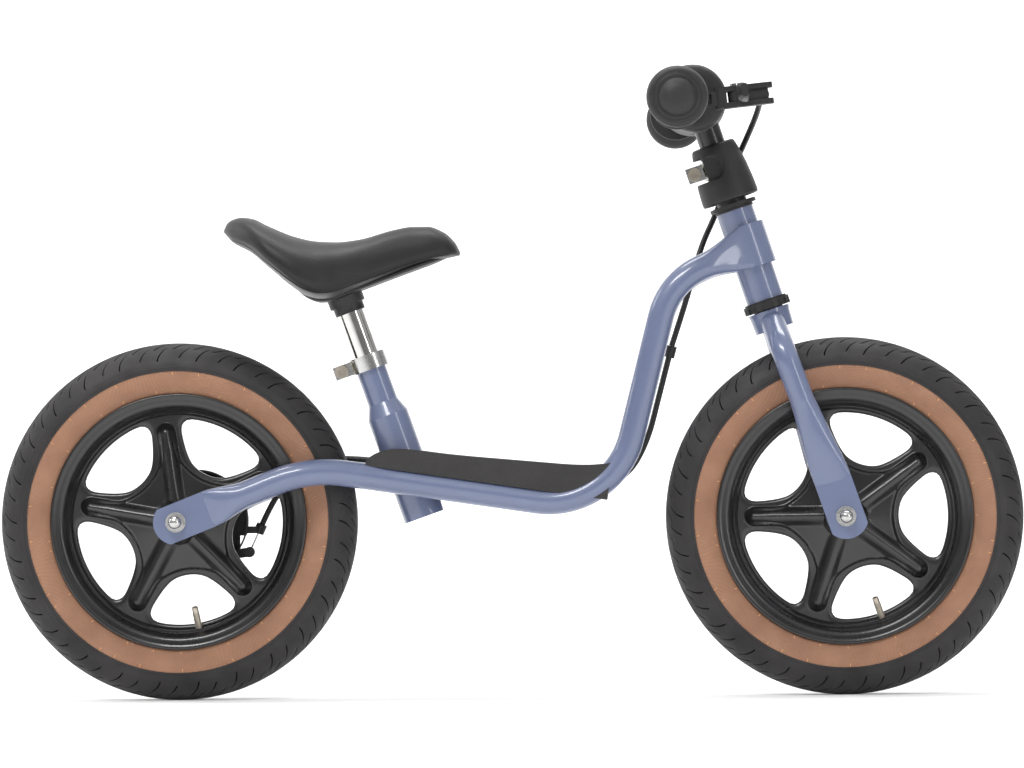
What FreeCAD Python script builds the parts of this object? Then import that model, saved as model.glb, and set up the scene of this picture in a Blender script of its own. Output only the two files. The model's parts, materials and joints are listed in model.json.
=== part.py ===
"""Child's balance bike as an assembly of separate sub-parts, one STEP file each.

Frame of the part: +X is forwards, +Y is the rider's left, +Z is up. The origin is on the ground, in the
middle plane, halfway between the two axles. Lengths are millimetres and angles are degrees.
"""
import FreeCAD
import Part
import math
import os

os.makedirs("parts", exist_ok=True)
V = FreeCAD.Vector

# ---------------------------------------------------------------- driving dimensions
WHEELBASE = 565.0
TYRE_DIAMETER = 303.0
TYRE_WIDTH = 50.0
HEAD_LEAN = 18.2             # steering axis, from vertical, top leaning back
FORK_RAKE = 5.0              # front axle ahead of the steering axis
HANDLEBAR_HALF_WIDTH = 209.0
SEAT_LEAN = 19.4             # seat tube, from vertical, top leaning back

# tubes
MAIN_TUBE_OD = 22.2
TUBE_WALL = 1.6
MAIN_TUBE_Y = 28.6           # centre of each main tube from the middle plane
HEAD_TUBE_OD = 31.8
HEAD_TUBE_LENGTH = 80.5
STEERER_OD = 25.4
STEM_OD = 22.2
BAR_OD = 22.2
SEAT_TUBE_TOP_OD = 25.4
SEAT_TUBE_FOOT_OD = 2 * (MAIN_TUBE_Y - MAIN_TUBE_OD / 2)
SEAT_POST_OD = 22.2
BLADE_TOP_OD = 20.8
SLIDING_FIT = 0.05           # radial clearance of a post in its tube or a shaft in its bush

# dropouts and axles
AXLE_OD = 8.0
SPACER_OD = 12.4
DROPOUT_WIDTH = 31.5
DROPOUT_THICKNESS = 5.0
DROPOUT_END_RADIUS = 19.0
STAY_CLEARANCE = 20.0        # tyre side to the dropout's middle at the rear
BLADE_CLEARANCE = 17.0       # tyre side to the blade's middle at the front
STAY_RISE = 21.5             # slope of the rear stays
RAIL_FALL = 8.6              # slope of the rails under the footboard

# rims, hubs and bearings
FLANGE_RADIUS = TYRE_DIAMETER / 2 - 42.7
RIM_HALF_WIDTH = 20.0
SPOKE_COUNT = 5
SPOKE_WIDTH = 26.0
RIB_WIDTH = 14.0
HUB_RADIUS = 17.0
HUB_HALF_LENGTH = 22.0
BEARING_OD = 22.0
BEARING_WIDTH = 7.0
FRONT_SPOKE_ANGLE = 36.0
REAR_SPOKE_ANGLE = 26.0
FRONT_VALVE_ANGLE = -70.4
REAR_VALVE_ANGLE = -80.0

# headset, along the steering axis from the front axle's foot on it
CROWN_GAP = 34.8             # tyre to the lower headset cup
CUP_HEIGHT = 8.7
CUP_OD = 40.0
CUP_SPIGOT = 10.0
BAR_RISE = 187.0             # lower headset cup to the handlebar's middle
BAR_SWEEP = 19.1             # grips behind the steering axis
PAD_DIAMETER = 60.0
PAD_HALF_LENGTH = 48.0
KNOB_DIAMETER = 51.0
GRIP_OD = 31.0
GRIP_START = 97.0

# saddle
SADDLE_LENGTH = 201.5
SADDLE_WIDTH = 128.0
SADDLE_NOSE_WIDTH = 58.0
SADDLE_RISE = 228.0          # rear axle to the saddle's lowest point of its top

# brake
LEVER_TILT = 6.0
LEVER_REACH = 62.0
CABLE_OD = 5.0
WIRE_OD = 1.6
CLIP_OD = 9.2                # sleeves that hold the casing
STOP_BORE = 2.2              # the wire's way through the casing's stop
DRUM_RADIUS = 27.0
BAND_THICKNESS = 1.6
COVER_RADIUS = 44.0
COVER_OFFSET = 12.6

# ---------------------------------------------------------------- places worked out from them
TYRE_RADIUS = TYRE_DIAMETER / 2
TUBE_R = MAIN_TUBE_OD / 2
REAR = V(-WHEELBASE / 2, 0, TYRE_RADIUS)
FRONT = V(WHEELBASE / 2, 0, TYRE_RADIUS)
STAY_Y = TYRE_WIDTH / 2 + STAY_CLEARANCE
REAR_PLATE_Y = STAY_Y + 2.5
BLADE_Y = TYRE_WIDTH / 2 + BLADE_CLEARANCE
FRONT_PLATE_Y = BLADE_Y + 2.0


def cosd(a):
    return math.cos(math.radians(a))


def sind(a):
    return math.sin(math.radians(a))


UP_AXIS = V(-sind(HEAD_LEAN), 0, cosd(HEAD_LEAN))      # along the steering axis
FORE_AXIS = V(cosd(HEAD_LEAN), 0, sind(HEAD_LEAN))     # square to it, forwards
STEER_FOOT = FRONT - FORE_AXIS * FORK_RAKE
SEAT_UP = V(-sind(SEAT_LEAN), 0, cosd(SEAT_LEAN))
SIDE = V(0, 1, 0)
S_CUP = TYRE_RADIUS + CROWN_GAP                        # underside of the lower headset cup
S_HEAD = S_CUP + CUP_HEIGHT                            # lower end of the head tube
S_HEAD_TOP = S_HEAD + HEAD_TUBE_LENGTH
S_BAR = S_CUP + BAR_RISE


def steer(s, n=0.0, y=0.0):
    """Point at s along the steering axis, n ahead of it and y to the left."""
    return STEER_FOOT + UP_AXIS * s + FORE_AXIS * n + SIDE * y


def from_rear(x, y, z):
    return REAR + V(x, y, z)


# ---------------------------------------------------------------- shape helpers
def cylinder(radius, start, end):
    return Part.makeCylinder(radius, (end - start).Length, start, end - start)


def tube(outer, inner, start, end):
    return cylinder(outer, start, end).cut(cylinder(inner, start, end))


def cone(r1, r2, start, end):
    return Part.makeCone(r1, r2, (end - start).Length, start, end - start)


def bent_edges(points, radii):
    """Straight runs joined by tangent arcs, one radius per inner point."""
    edges = []
    here = points[0]
    for before, corner, after, radius in zip(points, points[1:], points[2:], radii):
        a = (before - corner).normalize()
        b = (after - corner).normalize()
        half = math.acos(max(-1.0, min(1.0, a.dot(b)))) / 2
        reach = radius / math.tan(half)
        start, end = corner + a * reach, corner + b * reach
        middle = corner + (a + b).normalize() * (radius / math.sin(half) - radius)
        if (start - here).Length > 1e-6:
            edges.append(Part.LineSegment(here, start).toShape())
        edges.append(Part.Arc(start, middle, end).toShape())
        here = end
    edges.append(Part.LineSegment(here, points[-1]).toShape())
    return edges


def pipe(points, radii, outer, inner=0.0):
    """Round bar or tube along a bent path."""
    wire = Part.Wire(bent_edges(points, radii))
    direction = points[1] - points[0]
    section = Part.Face(Part.Wire(Part.makeCircle(outer, points[0], direction)))
    if inner:
        section = section.cut(Part.Face(Part.Wire(Part.makeCircle(inner, points[0], direction))))
    return wire.makePipe(section if not inner else section.Faces[0])


def oval(centre, across, along, half_across, half_along, power=2.0, count=32):
    """Closed smooth outline; power 2 is an ellipse and larger powers are squarer."""
    points = []
    for i in range(count):
        t = 2 * math.pi * i / count
        c, s = math.cos(t), math.sin(t)
        u = half_across * math.copysign(abs(c) ** (2 / power), c)
        w = half_along * math.copysign(abs(s) ** (2 / power), s)
        points.append(centre + across * u + along * w)
    curve = Part.BSplineCurve()
    curve.interpolate(points, True)
    return Part.Wire(curve.toShape())


def round_section(centre, across, along, radius):
    """Circle whose outline starts in the same direction as an oval's."""
    circle = Part.Circle(centre, across.cross(along), radius)
    circle.XAxis = across
    return Part.Wire(circle.toShape())


def prism(points, push):
    """Closed polygon pushed along a vector, starting half of it back."""
    start = [p - push * 0.5 for p in points]
    return Part.Face(Part.makePolygon(start + start[:1])).extrude(push)


def revolve_y(profile, centre):
    """Solid of revolution about the Y line through centre; profile holds (radius, y) pairs."""
    points = [centre + V(r, y, 0) for r, y in profile]
    return Part.Face(Part.makePolygon(points + points[:1])).revolve(centre, SIDE, 360)


def ring_y(outer, inner, centre, y0, y1):
    return revolve_y([(inner, y0), (outer, y0), (outer, y1), (inner, y1)], centre)


def rod_y(radius, centre, y0, y1):
    return Part.makeCylinder(radius, y1 - y0, centre + V(0, y0, 0), SIDE)


def mirror_y(shape):
    return shape.mirror(V(0, 0, 0), SIDE)


def joined(shapes):
    result = shapes[0]
    for shape in shapes[1:]:
        result = result.fuse(shape)
    return result.removeSplitter()


def group(shapes):
    return Part.makeCompound(shapes)


def box_at(centre, axes, sizes):
    """Block with edges along three square unit vectors."""
    a, b, c = axes
    la, lb, lc = sizes
    corner = centre - b * (lb / 2) - c * (lc / 2)
    outline = [corner, corner + b * lb, corner + b * lb + c * lc, corner + c * lc]
    return prism(outline, a * la)


def hexagon(centre, direction, across_flats, height):
    direction = V(direction).normalize()
    u = direction.cross(V(0.3, 0.2, 0.9)).normalize()
    w = direction.cross(u)
    r = across_flats / math.sqrt(3)
    ring = [centre + u * (r * cosd(60 * k)) + w * (r * sind(60 * k)) for k in range(6)]
    return Part.Face(Part.makePolygon(ring + ring[:1])).extrude(direction * height)


def socket_bolt(head_centre, direction, length, thread=6.0, head=10.0, head_height=6.0):
    """Socket head bolt: head_centre is under the head and direction points down the shank."""
    direction = V(direction).normalize()
    shank = cylinder(thread / 2, head_centre, head_centre + direction * length)
    top = head_centre - direction * head_height
    cap = cylinder(head / 2, top, head_centre)
    return joined([shank, cap]).cut(hexagon(top, direction, 0.5 * head, 0.6 * head_height))


def between(table, share):
    """Straight-line reading of a (share, value) table."""
    for (a, va), (b, vb) in zip(table, table[1:]):
        if share <= b:
            return va + (vb - va) * (share - a) / (b - a)
    return table[-1][1]


def save(name, shape):
    for solid in shape.Solids:
        if not solid.isValid() or solid.Volume <= 0:
            print("check", name, solid.isValid(), solid.Volume)
    shape.exportStep("parts/%s.step" % name)


# ---------------------------------------------------------------- frame
STAY_DIR = V(cosd(STAY_RISE), 0, sind(STAY_RISE))
STAY_TALL = V(-sind(STAY_RISE), 0, cosd(STAY_RISE))
BEND_X = TYRE_RADIUS - 38.8                             # rear bend, ahead of the rear axle
BEND_Z = BEND_X * math.tan(math.radians(STAY_RISE))
LUG_S = S_CUP + 56.0                                    # middle of the flattened front ends
LUG_HEIGHT = 36.6
LUG_WALL = 2.0
RAIL_DIR = V(cosd(RAIL_FALL), 0, -sind(RAIL_FALL))
RAIL_TALL = V(sind(RAIL_FALL), 0, cosd(RAIL_FALL))
RAIL_START = from_rear(BEND_X, 0, BEND_Z)


def rail_point(x, y=0.0, above=0.0):
    """Point at x ahead of the rear axle on the rails' centre line, moved square to them."""
    along = (x - BEND_X) / cosd(RAIL_FALL)
    return RAIL_START + RAIL_DIR * along + RAIL_TALL * above + SIDE * y


LOW_BEND_X = WHEELBASE - TYRE_RADIUS - 44.5             # bend under the down tube
LOW_BEND = rail_point(LOW_BEND_X)
TOP_BEND_S = S_CUP + 48.4
TOP_BEND_BEHIND = 72.6
TOP_BEND = steer(TOP_BEND_S, -TOP_BEND_BEHIND)
REAR_BEND_RADIUS = 100.0
SPLAY_BEND_RADIUS = 100.0
LOW_BEND_RADIUS = 72.0
TOP_BEND_RADIUS = 60.0
NECK_AHEAD = -40.0                                      # where the round tube starts to flatten


def lug_y(n):
    """Distance of the tube's middle from the middle plane between the top bend and the head tube."""
    at_head = HEAD_TUBE_OD / 2 + LUG_WALL
    return at_head + (MAIN_TUBE_Y - at_head) * min(1.0, -n / TOP_BEND_BEHIND)


def neck_point(n):
    rise = (LUG_S - TOP_BEND_S) * (1 + n / TOP_BEND_BEHIND)
    return steer(TOP_BEND_S + rise, n, lug_y(n))


def main_tube():
    """Left main tube: flat dropout, bent round tube and flattened end wrapped on the head tube."""
    stay_start = REAR + STAY_DIR * 62 + SIDE * STAY_Y
    path = [stay_start,
            from_rear(BEND_X, STAY_Y, BEND_Z),
            rail_point(TYRE_RADIUS + 18.5, MAIN_TUBE_Y),
            LOW_BEND + SIDE * MAIN_TUBE_Y,
            TOP_BEND + SIDE * MAIN_TUBE_Y,
            neck_point(NECK_AHEAD)]
    radii = [REAR_BEND_RADIUS, SPLAY_BEND_RADIUS, LOW_BEND_RADIUS, TOP_BEND_RADIUS]
    outer = pipe(path, radii, TUBE_R)
    bore = pipe(path, radii, TUBE_R - TUBE_WALL)

    plate_centre = REAR + SIDE * REAR_PLATE_Y
    flat_end = 30.0
    plate = prism([plate_centre + STAY_DIR * a + STAY_TALL * b for a, b in
                   ((-DROPOUT_END_RADIUS, -DROPOUT_WIDTH / 2), (flat_end, -DROPOUT_WIDTH / 2),
                    (flat_end, DROPOUT_WIDTH / 2), (-DROPOUT_END_RADIUS, DROPOUT_WIDTH / 2))],
                  SIDE * DROPOUT_THICKNESS)
    rounding = rod_y(DROPOUT_END_RADIUS, REAR, 0, 2 * STAY_Y)
    front_part = box_at(plate_centre + STAY_DIR * (flat_end / 2), (STAY_DIR, STAY_TALL, SIDE),
                        (flat_end, 2 * DROPOUT_WIDTH, DROPOUT_WIDTH))
    plate = plate.common(rounding.fuse(front_part))
    stations = [(flat_end - 1, REAR_PLATE_Y, DROPOUT_WIDTH / 2, DROPOUT_THICKNESS / 2, 5.0),
                (flat_end + 8, REAR_PLATE_Y - 0.8, DROPOUT_WIDTH / 2 - 0.6, 6.0, 2.9),
                (48, STAY_Y + 0.6, 13.4, 9.3, 2.3)]
    wires = [oval(REAR + STAY_DIR * t + SIDE * y, STAY_TALL, SIDE, a, b, power)
             for t, y, a, b, power in stations]
    wires.append(round_section(stay_start, STAY_TALL, SIDE, TUBE_R))
    flare = Part.makeLoft(wires, True, False)

    neck = neck_point(NECK_AHEAD)
    run = (neck - TOP_BEND - SIDE * MAIN_TUBE_Y).normalize()
    tall = SIDE.cross(run).normalize() * -1
    if tall.dot(UP_AXIS) < 0:
        tall = tall * -1
    wide = run.cross(tall).normalize()
    neck_wires = [round_section(neck, tall, wide, TUBE_R),
                  oval(neck_point(-26), UP_AXIS, SIDE, 12.8, 9.0, 2.3),
                  oval(neck_point(-14), UP_AXIS, SIDE, 15.8, 5.6, 2.8),
                  oval(neck_point(0) + FORE_AXIS * 3, UP_AXIS, SIDE, LUG_HEIGHT / 2 - 0.2,
                       LUG_WALL - 0.15, 4.5)]
    end = Part.makeLoft(neck_wires, True, False)
    bottom, top = steer(LUG_S - LUG_HEIGHT / 2), steer(LUG_S + LUG_HEIGHT / 2)
    wrap = tube(HEAD_TUBE_OD / 2 + 2 * LUG_WALL, HEAD_TUBE_OD / 2, bottom, top)
    front_left = box_at(steer(LUG_S, 11, 50.2), (UP_AXIS, FORE_AXIS, SIDE), (100, 28, 100))
    wrap = wrap.common(front_left)
    shape = outer.fuse(flare).fuse(plate).fuse(end).fuse(wrap)
    shape = shape.cut(cylinder(HEAD_TUBE_OD / 2, steer(S_HEAD - 5), steer(S_HEAD_TOP + 5)))
    shape = shape.cut(bore).cut(rod_y(AXLE_OD / 2 + 0.2, REAR, 0, 100))
    return shape


def head_tube():
    return tube(HEAD_TUBE_OD / 2, HEAD_TUBE_OD / 2 - TUBE_WALL, steer(S_HEAD), steer(S_HEAD_TOP))


SEAT_AXIS_X = 198.0                                     # seat tube axis crosses the rails here
SEAT_CROSS = rail_point(SEAT_AXIS_X)
SEAT_FOOT_BELOW = 31.0
SEAT_STEP_ABOVE = 60.5                                  # lower end of the taper
SEAT_TAPER = 12.0
SEAT_TOP_ABOVE = 114.0
CLAMP_HEIGHT = 13.0
CLAMP_WALL = 3.2
FORE_BACK = FORE_AXIS * -1


def seat(t, back=0.0, y=0.0):
    """Point at t up the seat tube's axis from the rails, back behind it and y to the left."""
    return SEAT_CROSS + SEAT_UP * t - V(cosd(SEAT_LEAN), 0, sind(SEAT_LEAN)) * back + SIDE * y


SEAT_BACK = seat(0, 1) - seat(0)


def seat_tube():
    foot_r, top_r = SEAT_TUBE_FOOT_OD / 2, SEAT_TUBE_TOP_OD / 2
    inner_top = SEAT_POST_OD / 2 + SLIDING_FIT
    foot, step = seat(-SEAT_FOOT_BELOW), seat(SEAT_STEP_ABOVE)
    neck, top = seat(SEAT_STEP_ABOVE + SEAT_TAPER), seat(SEAT_TOP_ABOVE)
    outer = joined([cylinder(foot_r, foot, step), cone(foot_r, top_r, step, neck),
                    cylinder(top_r, neck, top)])
    wide = foot_r - TUBE_WALL
    outer = outer.cut(cylinder(wide, foot, step)).cut(cone(wide, inner_top, step, neck))
    outer = outer.cut(cylinder(inner_top, neck, top))
    slot = box_at(seat(SEAT_TOP_ABOVE - 12, top_r), (SEAT_UP, SEAT_BACK, SIDE), (25, 12, 2.0))
    return outer.cut(slot)


def split_clamp(middle, axis, back, inner, height, ear_reach, bolt_reach, ear_height):
    """Ring that is split at its back, with two ears and a cross hole for its bolt."""
    ring = tube(inner + CLAMP_WALL, inner, middle - axis * (height / 2), middle + axis * (height / 2))
    depth = ear_reach - inner
    ears = box_at(middle + back * (inner + depth / 2), (axis, back, SIDE), (ear_height, depth, 13.0))
    ears = ears.cut(cylinder(inner + 0.5, middle - axis * height, middle + axis * height))
    body = joined([ring, ears])
    split = box_at(middle + back * (inner + depth / 2), (axis, back, SIDE), (height + 2, depth + 2, 2.2))
    body = body.cut(split)
    hole = middle + back * bolt_reach
    return body.cut(cylinder(3.1, hole - SIDE * 20, hole + SIDE * 20))


def clamp_fasteners(middle, back, bolt_reach):
    """Cross bolt with its head on the right and its nut on the left."""
    hole = middle + back * bolt_reach
    bolt = socket_bolt(hole - SIDE * 6.5, SIDE, 19.0, 6.0, 11.0, 5.0)
    nut = hexagon(hole + SIDE * 6.5, SIDE, 10.0, 5.0).cut(cylinder(3.0, hole, hole + SIDE * 20))
    return bolt, nut


def headset_cup(s_inner, s_outer, direction, rings):
    """Cup with a spigot pressed into the head tube; rings are (radius, height) outside it."""
    bore = STEERER_OD / 2 + SLIDING_FIT
    spigot = cylinder(HEAD_TUBE_OD / 2 - TUBE_WALL, steer(s_inner), steer(s_outer))
    solids = [spigot]
    at = s_outer
    for radius, height in rings:
        solids.append(cylinder(radius, steer(at), steer(at + direction * height)))
        at += direction * height
    low, high = steer(S_CUP - 30), steer(S_HEAD_TOP + 40)
    return joined(solids).cut(cylinder(bore, low, high))


def lower_cup():
    """Lower cup with a chamfered shoulder and gripping notches round its rim."""
    rings = [(CUP_OD / 2 - 1.8, 1.4), (CUP_OD / 2, CUP_HEIGHT - 1.9)]
    cup = headset_cup(S_HEAD + CUP_SPIGOT, S_HEAD, -1, rings)
    notch_count = 18
    for k in range(notch_count):
        angle = 360.0 * k / notch_count
        out = FORE_AXIS * cosd(angle) + SIDE * sind(angle)
        around = UP_AXIS.cross(out)
        centre = steer(S_HEAD - 5.5) + out * (CUP_OD / 2)
        cup = cup.cut(box_at(centre, (UP_AXIS, out, around), (4.4, 1.2, 3.0)))
    return cup


def axle_nut_pair(centre, plate_y):
    """Cap nuts on both ends of an axle, on their washers."""
    solids = []
    for side in (-1, 1):
        face = plate_y + DROPOUT_THICKNESS / 2 + 1.5
        start = centre + SIDE * (side * face)
        out = SIDE * side
        nut = joined([hexagon(start, out, 12.7, 6.0), cylinder(5.6, start, start + out * 8.0)])
        dome = Part.makeSphere(5.6, start + out * 8.0)
        nut = joined([nut, dome])
        solids.append(nut.cut(cylinder(AXLE_OD / 2, centre, start + out * 9.0)))
    return group(solids)


def axle_washers(centre, plate_y):
    face = plate_y + DROPOUT_THICKNESS / 2
    right = ring_y(8.5, AXLE_OD / 2 + 0.2, centre, -face - 1.5, -face)
    return group([right, mirror_y(right)])


def axle(centre, plate_y):
    half = plate_y + DROPOUT_THICKNESS / 2 + 1.5 + 9.0
    return rod_y(AXLE_OD / 2, centre, -half, half)


def axle_spacers(centre, plate_y):
    """Sleeves between the inner rings of the bearings and the dropouts."""
    inner_face = plate_y - DROPOUT_THICKNESS / 2
    bore = AXLE_OD / 2 + SLIDING_FIT
    right = ring_y(SPACER_OD / 2, bore, centre, -inner_face, -HUB_HALF_LENGTH - 0.2)
    return group([right, mirror_y(right)])


# ---------------------------------------------------------------- cable route
LEVER_FORE = V(cosd(LEVER_TILT), 0, sind(LEVER_TILT))
LEVER_UP = V(-sind(LEVER_TILT), 0, cosd(LEVER_TILT))
BAR_AXIS = steer(S_BAR, -BAR_SWEEP)                     # centre line of the grips
NIPPLE_F = 74.0                                         # the cable's nipple in the lever's nose


def lever(f, y, h=0.0):
    """Point f ahead of the grips' centre line and h above it, in the brake lever's own tilt."""
    return BAR_AXIS + LEVER_FORE * f + LEVER_UP * h + SIDE * y


def cable_at(x, y, z):
    """Point x ahead of the rear axle, y to the left and z above the ground."""
    return V(REAR.x + x, y, z)


CABLE_POINTS_BAR = [lever(NIPPLE_F - 2, -66.0, 0.0), lever(NIPPLE_F - 2, -51.0, 0.0),
                    lever(NIPPLE_F - 7, -22.0, -13.5), cable_at(485.5, 3.0, 474.0),
                    cable_at(476.0, 22.0, 454.0), cable_at(471.5, 26.75, 442.5)]
CABLE_POINTS_LOOP = [cable_at(471.5, 26.75, 442.5), cable_at(467.0, 31.5, 431.0),
                     cable_at(457.0, 29.0, 406.0), cable_at(446.5, 16.5, 384.0),
                     cable_at(439.5, 8.0, 360.0), cable_at(431.0, 5.5, 331.0), cable_at(419.7, 5.5, 297.0)]
CABLE_POINTS_FRAME = [cable_at(419.7, 5.5, 297.0), cable_at(408.4, 6.0, 254.0), cable_at(398.5, 7.5, 216.0),
                      cable_at(381.0, 10.5, 186.0), cable_at(350.0, 14.0, 175.5), cable_at(305.0, 17.5, 180.0),
                      cable_at(252.0, 21.0, 189.5), cable_at(205.0, 21.8, 196.0), cable_at(160.0, 22.5, 203.0),
                      cable_at(128.0, 27.0, 204.0), cable_at(101.0, 29.5, 194.0), cable_at(80.0, 31.5, 174.0),
                      cable_at(68.0, 34.0, 148.0)]


def cable_radii(points):
    """Each arc is as large as its two runs allow."""
    radii = []
    for before, corner, after in zip(points, points[1:], points[2:]):
        a, b = corner - before, after - corner
        turn = a.getAngle(b)
        radii.append(0.45 * min(a.Length, b.Length) / math.tan(turn / 2))
    return radii


def cable(points, label):
    radii = cable_radii(points)
    length = sum(e.Length for e in bent_edges(points, radii))
    solid = pipe(points, radii, CABLE_OD / 2)
    share = solid.Volume / (math.pi * CABLE_OD ** 2 / 4 * length)
    print(label, "length", round(length, 1), "radii", [round(r) for r in radii],
          "volume share", round(share, 4))
    return solid


# ---------------------------------------------------------------- footboard
BOARD_HALF_WIDTH = MAIN_TUBE_Y + 9.0
BOARD_REAR_X = TYRE_RADIUS + 7.0
BOARD_FRONT_X = LOW_BEND_X - 6.5
BOARD_WALL = 3.5


BOARD_HEIGHTS = ((0.0, 13.0), (0.02, 18.0), (0.07, 24.0), (0.25, 28.0), (0.5, 30.0), (0.75, 33.0),
                 (0.93, 37.0), (1.0, 41.0))             # share of the length, height above the rails
BOARD_FOOT = 9.0
BRIDGE_THICKNESS = 3.0
BRIDGE_ABOVE = 6.0                                      # middle of the bridges, above the rails' centre
SCREW_X = (SEAT_AXIS_X + 28.0, LOW_BEND_X - LOW_BEND_RADIUS)
BOSS_RADIUS = 5.5
SCREW_OD = 5.0


def board_outline(drop):
    """Side outline of the footboard's top, lowered by drop and closed along the rails' tops."""
    rear, front = BOARD_REAR_X + drop, BOARD_FRONT_X - drop
    span = front - rear
    top = [rail_point(rear + span * share, 0, height - drop) for share, height in BOARD_HEIGHTS]
    curve = Part.BSplineCurve()
    curve.interpolate(top)
    low_rear, low_front = rail_point(rear, 0, BOARD_FOOT), rail_point(front, 0, BOARD_FOOT)
    edges = [curve.toShape(), Part.LineSegment(top[-1], low_front).toShape(),
             Part.LineSegment(low_front, low_rear).toShape(), Part.LineSegment(low_rear, top[0]).toShape()]
    return Part.Wire(edges)


def footboard(rails):
    """Moulded shell on top of the two rails, with a hole for the seat tube."""
    half = BOARD_HALF_WIDTH
    solid = Part.Face(board_outline(0.0)).extrude(SIDE * (2 * half))
    solid.translate(SIDE * -half)
    inside = Part.Face(board_outline(BOARD_WALL)).extrude(SIDE * (2 * (half - BOARD_WALL)))
    inside.translate(SIDE * -(half - BOARD_WALL))
    low = box_at(rail_point((BOARD_REAR_X + BOARD_FRONT_X) / 2, 0, 4.0), (RAIL_DIR, RAIL_TALL, SIDE),
                 (BOARD_FRONT_X - BOARD_REAR_X - 2 * BOARD_WALL, 12.0, 2 * (half - BOARD_WALL)))
    shell = solid.cut(inside).cut(low)
    bosses = []
    for x in SCREW_X:
        share = (x - BOARD_REAR_X) / (BOARD_FRONT_X - BOARD_REAR_X)
        boss_top = between(BOARD_HEIGHTS, share) - BOARD_WALL / 2
        boss_foot = BRIDGE_ABOVE + BRIDGE_THICKNESS / 2
        bosses.append(cylinder(BOSS_RADIUS, rail_point(x, 0, boss_foot), rail_point(x, 0, boss_top)))
    shell = joined([shell] + bosses)
    for side in (-1, 1):
        path = [point + SIDE * (side * MAIN_TUBE_Y) for point in
                (rail_point(TYRE_RADIUS - 60.0), LOW_BEND, TOP_BEND)]
        shell = shell.cut(pipe(path, [LOW_BEND_RADIUS], TUBE_R))
    for rail in rails:
        shell = shell.cut(rail)
    casing = pipe(CABLE_POINTS_FRAME, cable_radii(CABLE_POINTS_FRAME), CABLE_OD / 2 + 0.4)
    shell = shell.cut(casing)
    return shell.cut(cylinder(SEAT_TUBE_FOOT_OD / 2 + 0.3, seat(-60), seat(80)))


def frame_bridges(rails):
    """Small plates welded between the rails, which carry the footboard's screws."""
    plates = []
    half = MAIN_TUBE_Y - math.sqrt(TUBE_R ** 2 - BRIDGE_ABOVE ** 2) - 0.2
    for x in SCREW_X:
        centre = rail_point(x, 0, BRIDGE_ABOVE)
        plate = box_at(centre, (RAIL_DIR, RAIL_TALL, SIDE), (16.0, BRIDGE_THICKNESS, 2 * half))
        for rail in rails:
            plate = plate.cut(rail)
        plates.append(plate.cut(cylinder(SCREW_OD / 2 + 0.1, rail_point(x, 0, -20), rail_point(x, 0, 30))))
    return group(plates)


def footboard_screws():
    screws = []
    for x in SCREW_X:
        head = rail_point(x, 0, BRIDGE_ABOVE - BRIDGE_THICKNESS / 2)
        screws.append(socket_bolt(head, RAIL_TALL, 15.0, SCREW_OD, 9.0, 3.0))
    return screws


# ---------------------------------------------------------------- fork
S_CROWN = S_CUP - 0.5
S_STEERER_TOP = S_CUP + 138.0
S_CLAMP = S_CUP + 128.5
FORK_EXIT_S = TYRE_RADIUS - 1.5                         # blades leave the vertical here
CROWN_JOIN_S = S_CROWN - 6.0


def fork_steerer():
    inner = STEM_OD / 2 + SLIDING_FIT
    shape = tube(STEERER_OD / 2, inner, steer(S_CROWN - 14.0), steer(S_STEERER_TOP))
    slot = box_at(steer(S_STEERER_TOP - 10, -STEERER_OD / 2), (UP_AXIS, FORE_AXIS, SIDE), (32, 8, 2.0))
    return shape.cut(slot)


def fork_crown():
    """Turned collar that carries the lower bearing and joins the blades."""
    seat_ring = cylinder(CUP_OD / 2 - 2.2, steer(S_CROWN - 2.5), steer(S_CROWN))
    collar = cone(CUP_OD / 2 - 3.4, CUP_OD / 2 - 2.6, steer(S_CROWN - 17.0), steer(S_CROWN - 2.5))
    return joined([seat_ring, collar]).cut(cylinder(STEERER_OD / 2, steer(S_CROWN - 30), steer(S_CROWN + 5)))


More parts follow.
